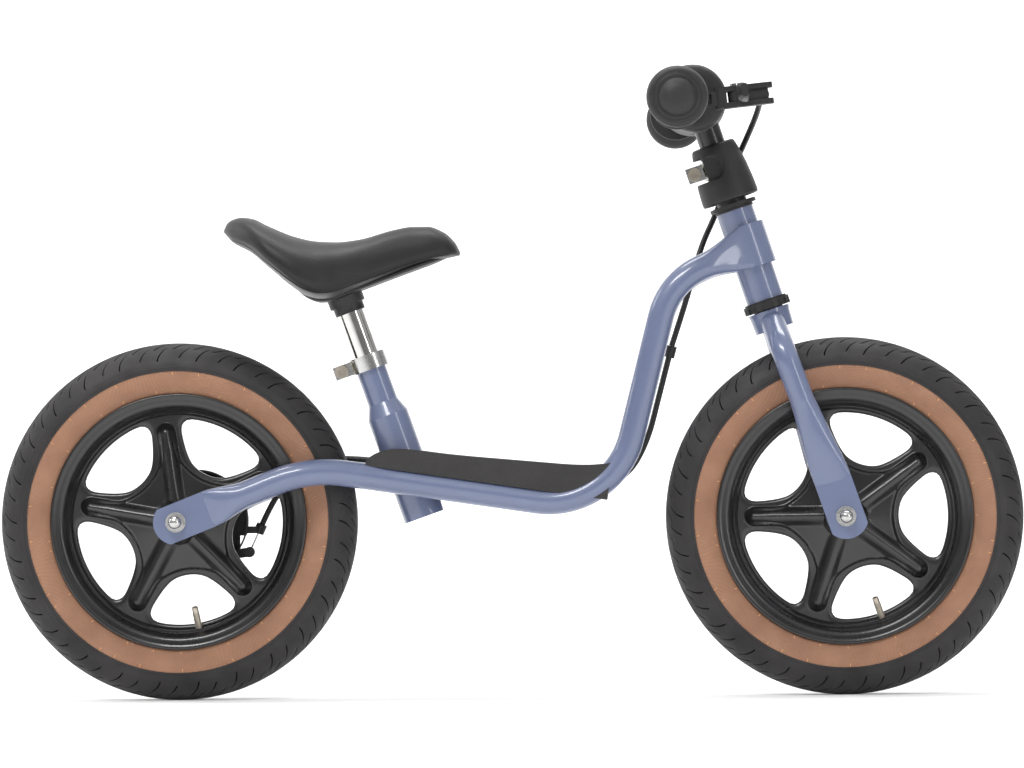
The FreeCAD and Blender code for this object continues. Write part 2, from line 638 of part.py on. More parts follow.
def fork_blade(crown):
    """Left blade: bent round tube that widens and flattens down to its dropout."""
    start = steer(104, 1.5, BLADE_Y)
    path = [start, steer(FORK_EXIT_S, 0, BLADE_Y), steer(CROWN_JOIN_S, 0, 6.0)]
    fore = SIDE.cross((path[1] - start).normalize()).normalize()
    outer = pipe(path, [30.0], BLADE_TOP_OD / 2)
    bore = pipe(path, [30.0], BLADE_TOP_OD / 2 - TUBE_WALL)
    half = DROPOUT_WIDTH / 2
    low_wires = [round_section(start, fore, SIDE, BLADE_TOP_OD / 2),
                 oval(steer(80, 2.4, BLADE_Y + 0.2), FORE_AXIS, SIDE, 12.4, 8.8, 2.2),
                 oval(steer(56, 3.2, BLADE_Y + 0.8), FORE_AXIS, SIDE, 14.6, 6.6, 2.5),
                 oval(steer(42, 3.8, BLADE_Y + 1.4), FORE_AXIS, SIDE, half - 0.1, 4.2, 3.0),
                 oval(steer(31, 4.2, FRONT_PLATE_Y), FORE_AXIS, SIDE, half, DROPOUT_THICKNESS / 2, 5.0)]
    flare = Part.makeLoft(low_wires, True, False)
    tip_s = -DROPOUT_END_RADIUS
    plate = prism([steer(s, n, FRONT_PLATE_Y) for s, n in
                   ((32, 4.2 - half), (32, 4.2 + half),
                    (tip_s, FORK_RAKE + half), (tip_s, FORK_RAKE - half))],
                  SIDE * DROPOUT_THICKNESS)
    above = box_at(steer(20, FORK_RAKE, FRONT_PLATE_Y), (UP_AXIS, FORE_AXIS, SIDE),
                   (40, 2 * DROPOUT_WIDTH, DROPOUT_WIDTH))
    plate = plate.common(above.fuse(rod_y(DROPOUT_END_RADIUS, FRONT, 0, 2 * BLADE_Y)))
    shape = joined([outer, flare, plate]).cut(bore)
    shape = shape.cut(crown).cut(cylinder(STEERER_OD / 2, steer(S_CROWN - 60), steer(S_CROWN + 5)))
    middle = box_at(steer(S_CROWN - 30, 0, -50), (UP_AXIS, FORE_AXIS, SIDE), (120, 80, 100.0))
    shape = shape.cut(middle).cut(rod_y(AXLE_OD / 2 + 0.2, FRONT, 0, 100))
    return shape.cut(cylinder(40, steer(S_CROWN - 0.3), steer(S_CROWN + 40)))


COVER_S0 = S_CUP + 97.7
COVER_S1 = S_CUP + 147.0


def clamp_cover():
    """Moulded cover over the stem clamp, wider at its foot, open at the back round the clamp's ears."""
    profile = [(24.2, COVER_S0), (24.6, COVER_S0 + 3), (24.3, COVER_S0 + 14), (22.9, COVER_S0 + 28),
               (20.6, COVER_S0 + 40), (18.8, COVER_S0 + 47), (17.8, COVER_S1)]
    outer_pts = [steer(s, r) for r, s in profile]
    curve = Part.BSplineCurve()
    curve.interpolate(outer_pts)
    wall = 2.6
    inner_low = steer(COVER_S0, 24.2 - wall)
    inner_shoulder = steer(S_CLAMP + 9, STEERER_OD / 2 + CLAMP_WALL + 1.2)
    inner_top = steer(COVER_S1 - 3, STEM_OD / 2 + 1.0)
    inner_out = steer(COVER_S1, STEM_OD / 2 + 1.0)
    edges = [curve.toShape()]
    corners = [outer_pts[-1], inner_out, inner_top, inner_shoulder, inner_low, outer_pts[0]]
    edges += [Part.LineSegment(a, b).toShape() for a, b in zip(corners, corners[1:])]
    shell = Part.Face(Part.Wire(edges)).revolve(steer(0), UP_AXIS, 360)
    window = box_at(steer(S_CLAMP, -24), (UP_AXIS, FORE_AXIS, SIDE), (20.0, 32.0, 60.0))
    return shell.cut(window)


# ---------------------------------------------------------------- handlebar
BAR_STRAIGHT_Y = 66.0
BAR_BEND_Y = 30.0
BAR_BEND_RADIUS = 50.0
BAR_END_Y = HANDLEBAR_HALF_WIDTH - 6.0
S_STEM_FOOT = S_CUP + 60.0


def crossbar_path():
    return [steer(S_BAR, -BAR_SWEEP, -BAR_END_Y), steer(S_BAR, -BAR_SWEEP, -BAR_STRAIGHT_Y),
            steer(S_BAR + 1, -1, -BAR_BEND_Y), steer(S_BAR + 1, -1, BAR_BEND_Y),
            steer(S_BAR, -BAR_SWEEP, BAR_STRAIGHT_Y), steer(S_BAR, -BAR_SWEEP, BAR_END_Y)]


def handlebar_crossbar():
    return pipe(crossbar_path(), [BAR_BEND_RADIUS] * 4, BAR_OD / 2, BAR_OD / 2 - TUBE_WALL)


def handlebar_stem(crossbar_solid):
    shape = tube(STEM_OD / 2, STEM_OD / 2 - TUBE_WALL, steer(S_STEM_FOOT), steer(S_BAR))
    return shape.cut(crossbar_solid)


def handlebar_pad():
    """Round pad over the middle of the crossbar, open below round the stem."""
    centre = steer(S_BAR + 2, -4)
    body = cylinder(PAD_DIAMETER / 2, centre - SIDE * PAD_HALF_LENGTH, centre + SIDE * PAD_HALF_LENGTH)
    edges = [e for e in body.Edges if e.Curve.TypeId == "Part::GeomCircle"]
    body = body.makeFillet(5.0, edges)
    body = body.cut(pipe(crossbar_path(), [BAR_BEND_RADIUS] * 4, BAR_OD / 2))
    return body.cut(cylinder(STEM_OD / 2, steer(S_BAR - 60), steer(S_BAR)))


def grip_right():
    """Rubber grip with an inner flange and a large safety knob at its end."""
    knob_r = KNOB_DIAMETER / 2
    y_in, y_end = GRIP_START, HANDLEBAR_HALF_WIDTH
    knob_y = y_end - 22.0
    profile = [(0, -y_end), (9.0, -y_end + 0.6), (14.0, -y_end + 3.4), (17.0, -y_end + 5.2), (22.0, -y_end + 6.2),
               (knob_r - 0.6, -y_end + 8.8), (knob_r, -y_end + 12.0), (knob_r - 0.8, -y_end + 17.0),
               (GRIP_OD / 2 + 3, -knob_y - 1.0), (GRIP_OD / 2, -knob_y + 3.0), (GRIP_OD / 2, -y_in - 7.0),
               (GRIP_OD / 2 + 3, -y_in - 4.0), (knob_r - 3.5, -y_in - 3.2), (knob_r - 3.0, -y_in),
               (BAR_OD / 2, -y_in), (BAR_OD / 2, -BAR_END_Y), (0, -BAR_END_Y)]
    return revolve_y(profile, BAR_AXIS)


# ---------------------------------------------------------------- brake lever
BRACKET_Y = -86.5
BRACKET_WIDTH = 12.0
PIVOT_F = 50.0
PIN_RADIUS = 2.5
NIPPLE_RADIUS = 3.0
YOKE_Y = -78.0


def brake_bracket():
    """Clamp ring on the bar, ribbed arm and forked head that holds the lever blade."""
    half = BRACKET_WIDTH / 2
    ring = cylinder(BAR_OD / 2 + 4.5, lever(0, BRACKET_Y - half), lever(0, BRACKET_Y + half))
    arm = box_at(lever(25, BRACKET_Y, 0), (LEVER_FORE, LEVER_UP, SIDE), (26, 12, BRACKET_WIDTH))
    head = box_at(lever(56, BRACKET_Y + 3, 0), (LEVER_FORE, LEVER_UP, SIDE), (50, 18, BRACKET_WIDTH + 8))
    front = [e for e in head.Edges if abs(e.tangentAt(e.FirstParameter).dot(LEVER_UP)) > 0.99]
    head = head.makeFillet(6.0, front)
    body = joined([ring, arm, head])
    for f in (18.5, 26.5):
        for side in (-1, 1):
            pocket = box_at(lever(f, BRACKET_Y + side * 5.0, 0), (LEVER_FORE, LEVER_UP, SIDE), (6.0, 8.0, 7.0))
            body = body.cut(pocket)
    bar = cylinder(BAR_OD / 2, lever(0, -200), lever(0, 0))
    mouth = box_at(lever(64, BRACKET_Y + 3, 0), (LEVER_FORE, LEVER_UP, SIDE), (44, 9.0, BRACKET_WIDTH + 10))
    pin_hole = cylinder(PIN_RADIUS, lever(PIVOT_F, BRACKET_Y, -20), lever(PIVOT_F, BRACKET_Y, 20))
    return body.cut(bar).cut(mouth).cut(pin_hole)


def lever_pivot_pin():
    pin = cylinder(PIN_RADIUS, lever(PIVOT_F, BRACKET_Y, -9.6), lever(PIVOT_F, BRACKET_Y, 9.6))
    head = cylinder(PIN_RADIUS + 1.5, lever(PIVOT_F, BRACKET_Y, 9.0), lever(PIVOT_F, BRACKET_Y, 11.0))
    return joined([pin, head])


def brake_lever_blade():
    """Short blade for small hands, curved in towards the grip, with an eye round the pivot pin."""
    eye = cylinder(7.0, lever(PIVOT_F, BRACKET_Y, -4.2), lever(PIVOT_F, BRACKET_Y, 4.2))
    nose = box_at(lever((PIVOT_F + NIPPLE_F) / 2, BRACKET_Y, 0), (LEVER_FORE, LEVER_UP, SIDE),
                  (NIPPLE_F - PIVOT_F + 6, 8.4, 9.0))
    stations = [(PIVOT_F + 3.0, BRACKET_Y, 3.6, 4.2), (PIVOT_F + 5.5, BRACKET_Y - 16, 3.6, 5.5),
                (PIVOT_F + 6.5, -122, 3.4, 7.2), (LEVER_REACH - 8.0, -146, 3.4, 7.2),
                (LEVER_REACH - 9.0, -166, 3.4, 7.0), (LEVER_REACH - 6.0, -180, 3.0, 5.6)]
    wires = [oval(lever(f, y), LEVER_FORE, LEVER_UP, a, b, 3.0) for f, y, a, b in stations]
    blade = Part.makeLoft(wires, True, False)
    shape = joined([eye, nose, blade])
    pin_hole = cylinder(PIN_RADIUS + SLIDING_FIT,
                        lever(PIVOT_F, BRACKET_Y, -20), lever(PIVOT_F, BRACKET_Y, 20))
    nipple_hole = cylinder(NIPPLE_RADIUS,
                           lever(NIPPLE_F - 1, BRACKET_Y, -10), lever(NIPPLE_F - 1, BRACKET_Y, 10))
    return shape.cut(pin_hole).cut(nipple_hole)


def cable_nipple():
    half = 3.6
    return cylinder(NIPPLE_RADIUS, lever(NIPPLE_F - 1, BRACKET_Y, -half), lever(NIPPLE_F - 1, BRACKET_Y, half))


def cable_adjuster():
    """Barrel adjuster screwed into the bracket, which the cable's casing sits in."""
    start, end = lever(NIPPLE_F - 2, BRACKET_Y + 13.0, 0), CABLE_POINTS_BAR[0]
    base = tube(6.0, 1.2, start, start + (end - start) * 0.2)
    return joined([base, tube(4.2, 1.2, start, end)])


def bracket_screw():
    return socket_bolt(lever(17.0, BRACKET_Y + BRACKET_WIDTH / 2), SIDE * -1, 11.0, 4.0, 6.5, 3.0)


# ---------------------------------------------------------------- saddle
SADDLE_NOSE_X = 241.0                                   # nose, ahead of the rear axle
SADDLE_TOP = ((0.0, 12.5), (0.04, 19.5), (0.075, 21.5), (0.12, 20.5), (0.19, 14.0), (0.31, 4.3), (0.40, 0.6),
              (0.48, 0.0), (0.57, 1.8), (0.72, 9.6), (0.80, 12.2), (0.865, 12.2), (0.935, 7.0), (0.98, -1.5),
              (1.0, -10.5))
SADDLE_BOTTOM = ((0.0, 7.5), (0.04, 0.0), (0.115, -8.3), (0.19, -21.0), (0.30, -39.5), (0.355, -46.5),
                 (0.41, -49.5), (0.45, -49.0), (0.57, -40.5), (0.79, -24.5), (0.90, -17.0), (1.0, -12.5))
SADDLE_SIDE = ((0.0, 0.13), (0.04, 0.40), (0.115, 0.72), (0.20, 0.93), (0.30, 1.0), (0.40, 0.93), (0.50, 0.76),
               (0.62, 0.60), (0.75, 0.50), (0.88, 0.45), (0.95, 0.37), (1.0, 0.12))


SADDLE_LIFT = 8.6                                       # the lowest point of the top is this far down


def saddle_section(share, shrink=0.0):
    x = SADDLE_NOSE_X - SADDLE_LENGTH * (1 - share)
    top, bottom = between(SADDLE_TOP, share) - shrink, between(SADDLE_BOTTOM, share) + shrink
    half = between(SADDLE_SIDE, share) * SADDLE_WIDTH / 2 - shrink
    half_height = max(1.2, (top - bottom) / 2)
    centre = from_rear(x, 0, SADDLE_RISE + (top + bottom) / 2 + SADDLE_LIFT)
    return oval(centre, SIDE, V(0, 0, 1), half, half_height, 2.6)


def saddle_cover():
    shares = (0.0, 0.04, 0.115, 0.20, 0.30, 0.40, 0.50, 0.62, 0.75, 0.88, 0.95, 1.0)
    return Part.makeLoft([saddle_section(share) for share in shares], True, False)


SADDLE_SOCKET_T = 160.5                                 # under the saddle, along the seat tube's axis
POST_IN_TUBE = 100.0
POST_IN_SADDLE = 14.0


def saddle_base(cover):
    """Moulded base under the cover, with the socket that the seat post is pressed into."""
    shares = (0.32, 0.42, 0.52, 0.66, 0.80, 0.93, 0.985)
    low = [from_rear(SADDLE_NOSE_X - SADDLE_LENGTH * (1 - s), 0,
                     SADDLE_RISE + SADDLE_LIFT + between(SADDLE_BOTTOM, s) - 2.2) for s in shares]
    curve = Part.BSplineCurve()
    curve.interpolate(low)
    high_front, high_rear = low[-1] + V(0, 0, 12), low[0] + V(0, 0, 30)
    edges = [curve.toShape(), Part.LineSegment(low[-1], high_front).toShape(),
             Part.LineSegment(high_front, high_rear).toShape(), Part.LineSegment(high_rear, low[0]).toShape()]
    half = SADDLE_NOSE_WIDTH / 2 - 5
    slab = Part.Face(Part.Wire(edges)).extrude(SIDE * (2 * half))
    slab.translate(SIDE * -half)
    foot, flange = seat(SADDLE_SOCKET_T - 7.0), seat(SADDLE_SOCKET_T)
    socket = joined([cylinder(15.4, flange, seat(SADDLE_SOCKET_T + 26)), cylinder(13.0, foot, flange)])
    base = joined([slab, socket]).cut(cover)
    return base.cut(cylinder(SEAT_POST_OD / 2, seat(0), seat(SADDLE_SOCKET_T + POST_IN_SADDLE)))


def seat_post():
    start, end = seat(SEAT_TOP_ABOVE - POST_IN_TUBE), seat(SADDLE_SOCKET_T + POST_IN_SADDLE)
    return tube(SEAT_POST_OD / 2, SEAT_POST_OD / 2 - TUBE_WALL, start, end)


# ---------------------------------------------------------------- wheels
BEAD_RADIUS = FLANGE_RADIUS - 5.8
BARREL_RADIUS = BEAD_RADIUS - 4.0
TUBE_CENTRE = TYRE_RADIUS - TYRE_WIDTH / 2 + 0.25       # centre of the tyre's round section
CASING_R = TYRE_WIDTH / 2
CASING_WALL = 3.2
BEAD_Y = 17.0


def polar(centre, radius, angle, y=0.0):
    return centre + V(radius * cosd(angle), y, radius * sind(angle))


def tyre(centre):
    """Casing of round section, open inwards, with a bead each side inside the rim's flanges."""
    inner_r = CASING_R - CASING_WALL
    open_half = math.degrees(math.asin(BEAD_Y / CASING_R))
    middle = centre + V(TUBE_CENTRE, 0, 0)

    def on(radius, angle):
        return middle + V(-radius * cosd(angle), radius * sind(angle), 0)

    outer = Part.Arc(on(CASING_R, open_half), on(CASING_R, 180), on(CASING_R, 360 - open_half)).toShape()
    inner_half = math.degrees(math.asin((BEAD_Y - CASING_WALL) / inner_r))
    inner = Part.Arc(on(inner_r, inner_half), on(inner_r, 180), on(inner_r, 360 - inner_half)).toShape()
    ends = []
    for side in (1, -1):
        angle_out = open_half if side > 0 else 360 - open_half
        angle_in = inner_half if side > 0 else 360 - inner_half
        bead_out = centre + V(BEAD_RADIUS, side * BEAD_Y, 0)
        bead_in = centre + V(BEAD_RADIUS, side * (BEAD_Y - CASING_WALL), 0)
        corners = [on(CASING_R, angle_out), bead_out, bead_in, on(inner_r, angle_in)]
        ends += [Part.LineSegment(a, b).toShape() for a, b in zip(corners, corners[1:])]
    wire = Part.Wire(Part.__sortEdges__([outer, inner] + ends))
    return Part.Face(wire).revolve(centre, SIDE, 360)


def valve_line(centre, angle):
    """Foot, seat and tip of a valve, which leans to the right."""
    return (polar(centre, BEAD_RADIUS + 3.0, angle, -1.0), polar(centre, BARREL_RADIUS, angle, -3.0),
            polar(centre, BARREL_RADIUS - 25.0, angle, -11.5))


def inner_tube(centre, valve_angle):
    section_r = CASING_R - CASING_WALL - 0.3
    lift = 1.2
    ring = Part.makeTorus(TUBE_CENTRE + lift, section_r - lift, centre, SIDE)
    hollow = Part.makeTorus(TUBE_CENTRE + lift, section_r - lift - 1.2, centre, SIDE)
    foot, seat_point, tip = valve_line(centre, valve_angle)
    stem = joined([cylinder(2.6, foot, tip), cylinder(4.0, foot, seat_point + (tip - seat_point) * 0.12)])
    return joined([ring.cut(hollow), stem.cut(hollow)])


def window(centre, angle):
    """Opening between two spokes, with rounded corners."""
    outer, inner = FLANGE_RADIUS - 21.3, FLANGE_RADIUS - 63.0
    ring = ring_y(outer, inner, centre, -30, 30)
    step = 360.0 / SPOKE_COUNT
    wedge = [centre, polar(centre, 200, angle - step / 2), polar(centre, 200, angle + step / 2)]
    piece = ring.common(prism(wedge, SIDE * 80))
    for side in (-1, 1):
        spoke = angle + side * step / 2
        radial = V(cosd(spoke), 0, sind(spoke))
        piece = piece.cut(box_at(polar(centre, 60, spoke), (radial, V(0, 1, 0), radial.cross(SIDE)),
                                 (160, 90, SPOKE_WIDTH)))
    edges = [e for e in piece.Edges if e.Curve.TypeId == "Part::GeomLine"
             and abs(e.tangentAt(e.FirstParameter).y) > 0.99]
    return piece.makeFillet(7.5, edges)


def rim(centre, spoke_angle, valve_angle):
    """Moulded wheel: rim channel, web with five windows, raised ribs and hub."""
    flange, half = FLANGE_RADIUS, RIM_HALF_WIDTH
    ease = 0.6
    channel = [(BEAD_RADIUS, -BEAD_Y), (flange - ease, -BEAD_Y), (flange, -BEAD_Y - ease),
               (flange, -half + 1.0), (flange - 1.4, -half),
               (flange - 12.0, -half + 0.6), (flange - 16.0, -half + 4.0), (flange - 19.0, -8.0),
               (flange - 19.0, 8.0), (flange - 16.0, half - 4.0), (flange - 12.0, half - 0.6),
               (flange - 1.4, half), (flange, half - 1.0), (flange, BEAD_Y + ease),
               (flange - ease, BEAD_Y), (BEAD_RADIUS, BEAD_Y)]
    ring = revolve_y(channel, centre)
    web = rod_y(flange - 18.5, centre, -4.0, 4.0)
    step = 360.0 / SPOKE_COUNT
    for k in range(SPOKE_COUNT):
        web = web.cut(window(centre, spoke_angle + step * (k + 0.5)))
    pieces = [ring, web, rod_y(HUB_RADIUS, centre, -HUB_HALF_LENGTH, HUB_HALF_LENGTH)]
    for k in range(SPOKE_COUNT):
        angle = spoke_angle + step * k
        radial = V(cosd(angle), 0, sind(angle))
        across = radial.cross(SIDE)
        outline = [centre + radial * r + SIDE * y for r, y in
                   ((8, -19), (flange - 38, -13), (flange - 24, -8), (flange - 20, 0), (flange - 24, 8),
                    (flange - 38, 13), (8, 19))]
        rib = Part.Face(Part.makePolygon(outline + outline[:1])).extrude(across * RIB_WIDTH)
        rib.translate(across * (-RIB_WIDTH / 2))
        pieces.append(rib)
    body = joined(pieces)
    foot, seat_point, tip = valve_line(centre, valve_angle)
    pocket = rod_y(BEARING_OD / 2, centre, HUB_HALF_LENGTH - BEARING_WIDTH, HUB_HALF_LENGTH + 5)
    body = body.cut(pocket).cut(pocket.mirror(centre, SIDE))
    body = body.cut(rod_y(9.0, centre, -50, 50))
    return body.cut(cylinder(4.3, foot, tip))


def bearings(centre):
    """Sealed ball bearings pressed into both ends of the hub."""
    face, bore = -HUB_HALF_LENGTH, AXLE_OD / 2 + SLIDING_FIT
    right = ring_y(BEARING_OD / 2, bore, centre, face, face + BEARING_WIDTH)
    groove = ring_y(BEARING_OD / 2 - 2.2, AXLE_OD / 2 + 2.3, centre, face - 1, face + 0.5)
    right = right.cut(groove)
    left = right.mirror(centre, SIDE)
    return group([right, left])


# ---------------------------------------------------------------- rear brake
DRUM_WIDTH = 9.0
DRUM_Y0, DRUM_Y1 = HUB_HALF_LENGTH, HUB_HALF_LENGTH + DRUM_WIDTH
COVER_WALL = 1.6
COVER_FACE = STAY_Y - TUBE_R - 0.4                      # the cover stays clear of the left stay
COVER_SEAT = REAR_PLATE_Y - DROPOUT_THICKNESS / 2       # its boss is clamped against the dropout
ARM_PIVOT = from_rear(23.0, 0, -31.0)
ARM_END = from_rear(57.2, 0, -27.0)
BAND_GAP = 0.8
STOP_POINT = CABLE_POINTS_FRAME[-1]
CABLE_DOWN = (STOP_POINT - CABLE_POINTS_FRAME[-2]).normalize()
STOP_LENGTH = 8.0
ARM_Y0, ARM_Y1 = DRUM_Y0 + 4.0, DRUM_Y0 + 7.0
ARM_WIDTH = 8.0
PIVOT_POST_RADIUS = 3.0
ARM_TURN = 14.0                                         # the arm's travel when the lever is pulled
WIRE_END = STOP_POINT + CABLE_DOWN * ((STOP_POINT.z - ARM_END.z) / -CABLE_DOWN.z)


def arm_end_after(turn):
    """The arm's outer end after a turn about its pivot."""
    reach = ARM_END - ARM_PIVOT
    return ARM_PIVOT + V(reach.x * cosd(turn) - reach.z * sind(turn), 0, reach.x * sind(turn) + reach.z * cosd(turn))


def brake_drum():
    """Drum on the left end of the rear hub."""
    wall = 3.0
    return revolve_y([(HUB_RADIUS - wall, DRUM_Y0), (DRUM_RADIUS, DRUM_Y0), (DRUM_RADIUS, DRUM_Y1),
                      (DRUM_RADIUS - wall, DRUM_Y1), (DRUM_RADIUS - wall, DRUM_Y0 + wall),
                      (HUB_RADIUS - wall, DRUM_Y0 + wall)], REAR)


def brake_band():
    """Band round the drum, open at the arm, with its anchor lug at the top."""
    inner = DRUM_RADIUS + BAND_GAP
    edge = 1.5
    band = ring_y(inner + BAND_THICKNESS, inner, REAR, DRUM_Y0 + edge, DRUM_Y1 - edge)
    gap = prism([REAR, REAR + V(70, 0, -60), REAR + V(30, 0, -80)], SIDE * 200)
    width = DRUM_WIDTH - 2 * edge
    lug = box_at(REAR + V(0, (DRUM_Y0 + DRUM_Y1) / 2, inner + 3.5), (V(0, 0, 1), SIDE, V(1, 0, 0)),
                 (7.0, width, 4.0))
    return joined([band.cut(gap), lug]).cut(rod_y(inner, REAR, 0, 60))


def brake_cover():
    """Shell over the drum, held on the axle, set forwards of it."""
    centre = REAR + V(COVER_OFFSET, 0, 0)
    face = ring_y(COVER_RADIUS, 0.0, centre, COVER_FACE - COVER_WALL, COVER_FACE)
    wall = ring_y(COVER_RADIUS, COVER_RADIUS - COVER_WALL, centre, DRUM_Y0 + 1.0, COVER_FACE)
    boss = rod_y(10.0, REAR, COVER_FACE - COVER_WALL, COVER_SEAT)
    post = rod_y(PIVOT_POST_RADIUS, ARM_PIVOT, ARM_Y0 - 2.0, COVER_FACE)
    shape = joined([face, wall, boss, post])
    slot = box_at(from_rear(48.0, (ARM_Y0 + ARM_Y1) / 2, -25.0), (V(1, 0, 0), SIDE, V(0, 0, 1)),
                  (32.0, ARM_Y1 - ARM_Y0 + 3.0, 38.0))
    room = ARM_WIDTH / 2 + 2.0                          # round the arm's end through its travel
    turned = arm_end_after(ARM_TURN)
    notch = Part.makeBox(4 * room, COVER_FACE, turned.z - ARM_END.z + 2 * room,
                         V(turned.x - room, ARM_Y0 - 1.5, ARM_END.z - room))
    return shape.cut(slot).cut(notch).cut(rod_y(SPACER_OD / 2, REAR, 0, 100))


def cable_stop():
    """Bracket on the brake cover that the casing ends in."""
    barrel = tube(CLIP_OD / 2, STOP_BORE / 2, STOP_POINT, STOP_POINT + CABLE_DOWN * STOP_LENGTH)
    middle = STOP_POINT + CABLE_DOWN * 5.0
    reach = 15.0
    plate = box_at(middle - V(reach / 2, 2.6, 0), (V(1, 0, 0), SIDE, V(0, 0, 1)), (reach, 3.0, 6.0))
    plate = plate.cut(cylinder(STOP_BORE / 2, STOP_POINT, STOP_POINT + CABLE_DOWN * 20))
    plate = plate.cut(rod_y(COVER_RADIUS, REAR + V(COVER_OFFSET, 0, 0), 0, 60))
    return joined([barrel, plate])


def brake_arm():
    """Lever that tightens the band, pivoted on the cover's post."""
    direction = (ARM_END - ARM_PIVOT).normalize()
    length = (ARM_END - ARM_PIVOT).Length
    middle = (ARM_END + ARM_PIVOT) * 0.5 + SIDE * ((ARM_Y0 + ARM_Y1) / 2)
    bar = box_at(middle, (direction, SIDE, SIDE.cross(direction)), (length, ARM_Y1 - ARM_Y0, ARM_WIDTH))
    eye = rod_y(PIVOT_POST_RADIUS + 3.0, ARM_PIVOT, ARM_Y0, ARM_Y1)
    anchor = rod_y(ARM_WIDTH / 2 + 0.5, ARM_END, ARM_Y0, WIRE_END.y)
    shape = joined([bar, eye, anchor]).cut(rod_y(PIVOT_POST_RADIUS + SLIDING_FIT, ARM_PIVOT, 0, 60))
    groove = cylinder(WIRE_OD / 2 + SLIDING_FIT, STOP_POINT, WIRE_END + CABLE_DOWN * ARM_WIDTH)
    return shape.cut(groove)


def brake_wire():
    """Bare inner wire between the casing's stop and the arm."""
    return cylinder(WIRE_OD / 2, STOP_POINT + CABLE_DOWN * (STOP_LENGTH / 2), WIRE_END)


CLIP_LENGTH = 10.0
CLIP_ARM_START = 3.5                                    # inside the sleeve's wall


def cable_clip(rail):
    """Sleeve round the casing, with an arm that sits on the left down tube."""
    start = CABLE_POINTS_FRAME[0]
    along = (CABLE_POINTS_FRAME[1] - start).normalize()
    middle = start + along * (CLIP_LENGTH / 2)
    low = LOW_BEND + SIDE * MAIN_TUBE_Y
    down_tube = (TOP_BEND - LOW_BEND).normalize()
    foot = low + down_tube * (middle - low).dot(down_tube)
    out = (foot - middle).normalize()
    reach = (foot - middle).Length - TUBE_R + TUBE_WALL / 2
    arm = box_at(middle + out * ((reach + CLIP_ARM_START) / 2), (out, down_tube, out.cross(down_tube)),
                 (reach - CLIP_ARM_START, 7.0, 3.0))
    sleeve = tube(CLIP_OD / 2, CABLE_OD / 2, start, start + along * CLIP_LENGTH)
    return joined([sleeve, arm]).cut(rail)


# ---------------------------------------------------------------- build
left_main = main_tube()
right_main = mirror_y(left_main)
rails = (left_main, right_main)
save("main_tube_left", left_main)
save("main_tube_right", right_main)
save("head_tube", head_tube())
save("seat_tube", seat_tube())
board_screws = footboard_screws()
board = footboard(rails)
for screw in board_screws:
    board = board.cut(screw)
save("footboard", board)
save("footboard_screws", group(board_screws))
save("frame_bridges", frame_bridges(rails))

seat_clamp_at = seat(SEAT_TOP_ABOVE - CLAMP_HEIGHT / 2 + 1.0)
seat_bolt, seat_nut = clamp_fasteners(seat_clamp_at, SEAT_BACK, 24.0)
seat_clamp = split_clamp(seat_clamp_at, SEAT_UP, SEAT_BACK, SEAT_TUBE_TOP_OD / 2, CLAMP_HEIGHT,
                         30.5, 24.0, 11.0)
save("seat_clamp", seat_clamp)
save("seat_clamp_bolt", seat_bolt)
save("seat_clamp_nut", seat_nut)
save("headset_lower_cup", lower_cup())
upper_cup = headset_cup(S_HEAD_TOP - CUP_SPIGOT, S_HEAD_TOP, 1, [(16.6, 2.6), (20.0, 3.0)])
save("headset_upper_cup", upper_cup)

save("rear_axle", axle(REAR, REAR_PLATE_Y))
save("rear_axle_nuts", axle_nut_pair(REAR, REAR_PLATE_Y))
save("rear_washers", axle_washers(REAR, REAR_PLATE_Y))
save("rear_spacers", axle_spacers(REAR, REAR_PLATE_Y))
save("front_axle", axle(FRONT, FRONT_PLATE_Y))
save("front_axle_nuts", axle_nut_pair(FRONT, FRONT_PLATE_Y))
save("front_washers", axle_washers(FRONT, FRONT_PLATE_Y))
save("front_spacers", axle_spacers(FRONT, FRONT_PLATE_Y))

save("brake_cover", brake_cover())
save("brake_cable_stop", cable_stop())
save("brake_band", brake_band())
save("brake_drum", brake_drum())
save("brake_arm", brake_arm())
save("brake_wire", brake_wire())

crown = fork_crown()
left_blade = fork_blade(crown)
save("fork_crown", crown)
save("fork_blade_left", left_blade)
save("fork_blade_right", mirror_y(left_blade))
save("fork_steerer", fork_steerer())
stem_clamp_at = steer(S_CLAMP)
stem_bolt, stem_nut = clamp_fasteners(stem_clamp_at, FORE_BACK, 22.5)
save("stem_clamp", split_clamp(stem_clamp_at, UP_AXIS, FORE_BACK, STEERER_OD / 2, 16.0, 29.0, 22.5, 13.0))
save("stem_clamp_bolt", stem_bolt)
save("stem_clamp_nut", stem_nut)
save("clamp_cover", clamp_cover())

bar = handlebar_crossbar()
solid_bar = pipe(crossbar_path(), [BAR_BEND_RADIUS] * 4, BAR_OD / 2)
save("handlebar_crossbar", bar)
save("handlebar_stem", handlebar_stem(solid_bar))
save("handlebar_pad", handlebar_pad())
right_grip = grip_right()
save("grip_right", right_grip)
save("grip_left", mirror_y(right_grip))
save("brake_bracket", brake_bracket().cut(bracket_screw()))
save("lever_pivot_pin", lever_pivot_pin())
save("brake_lever_blade", brake_lever_blade())
save("cable_nipple", cable_nipple())
save("cable_adjuster", cable_adjuster())
save("bracket_screw", bracket_screw())

save("brake_cable_bar", cable(CABLE_POINTS_BAR, "cable at the handlebar"))
save("brake_cable_loop", cable(CABLE_POINTS_LOOP, "cable past the head tube"))
save("brake_cable_frame", cable(CABLE_POINTS_FRAME, "cable along the frame"))
save("cable_clip", cable_clip(left_main))

cover = saddle_cover()
save("saddle_base", saddle_base(cover))
post_hole = cylinder(SEAT_POST_OD / 2, seat(0), seat(SADDLE_SOCKET_T + POST_IN_SADDLE))
save("saddle_cover", cover.cut(post_hole))
save("seat_post", seat_post())

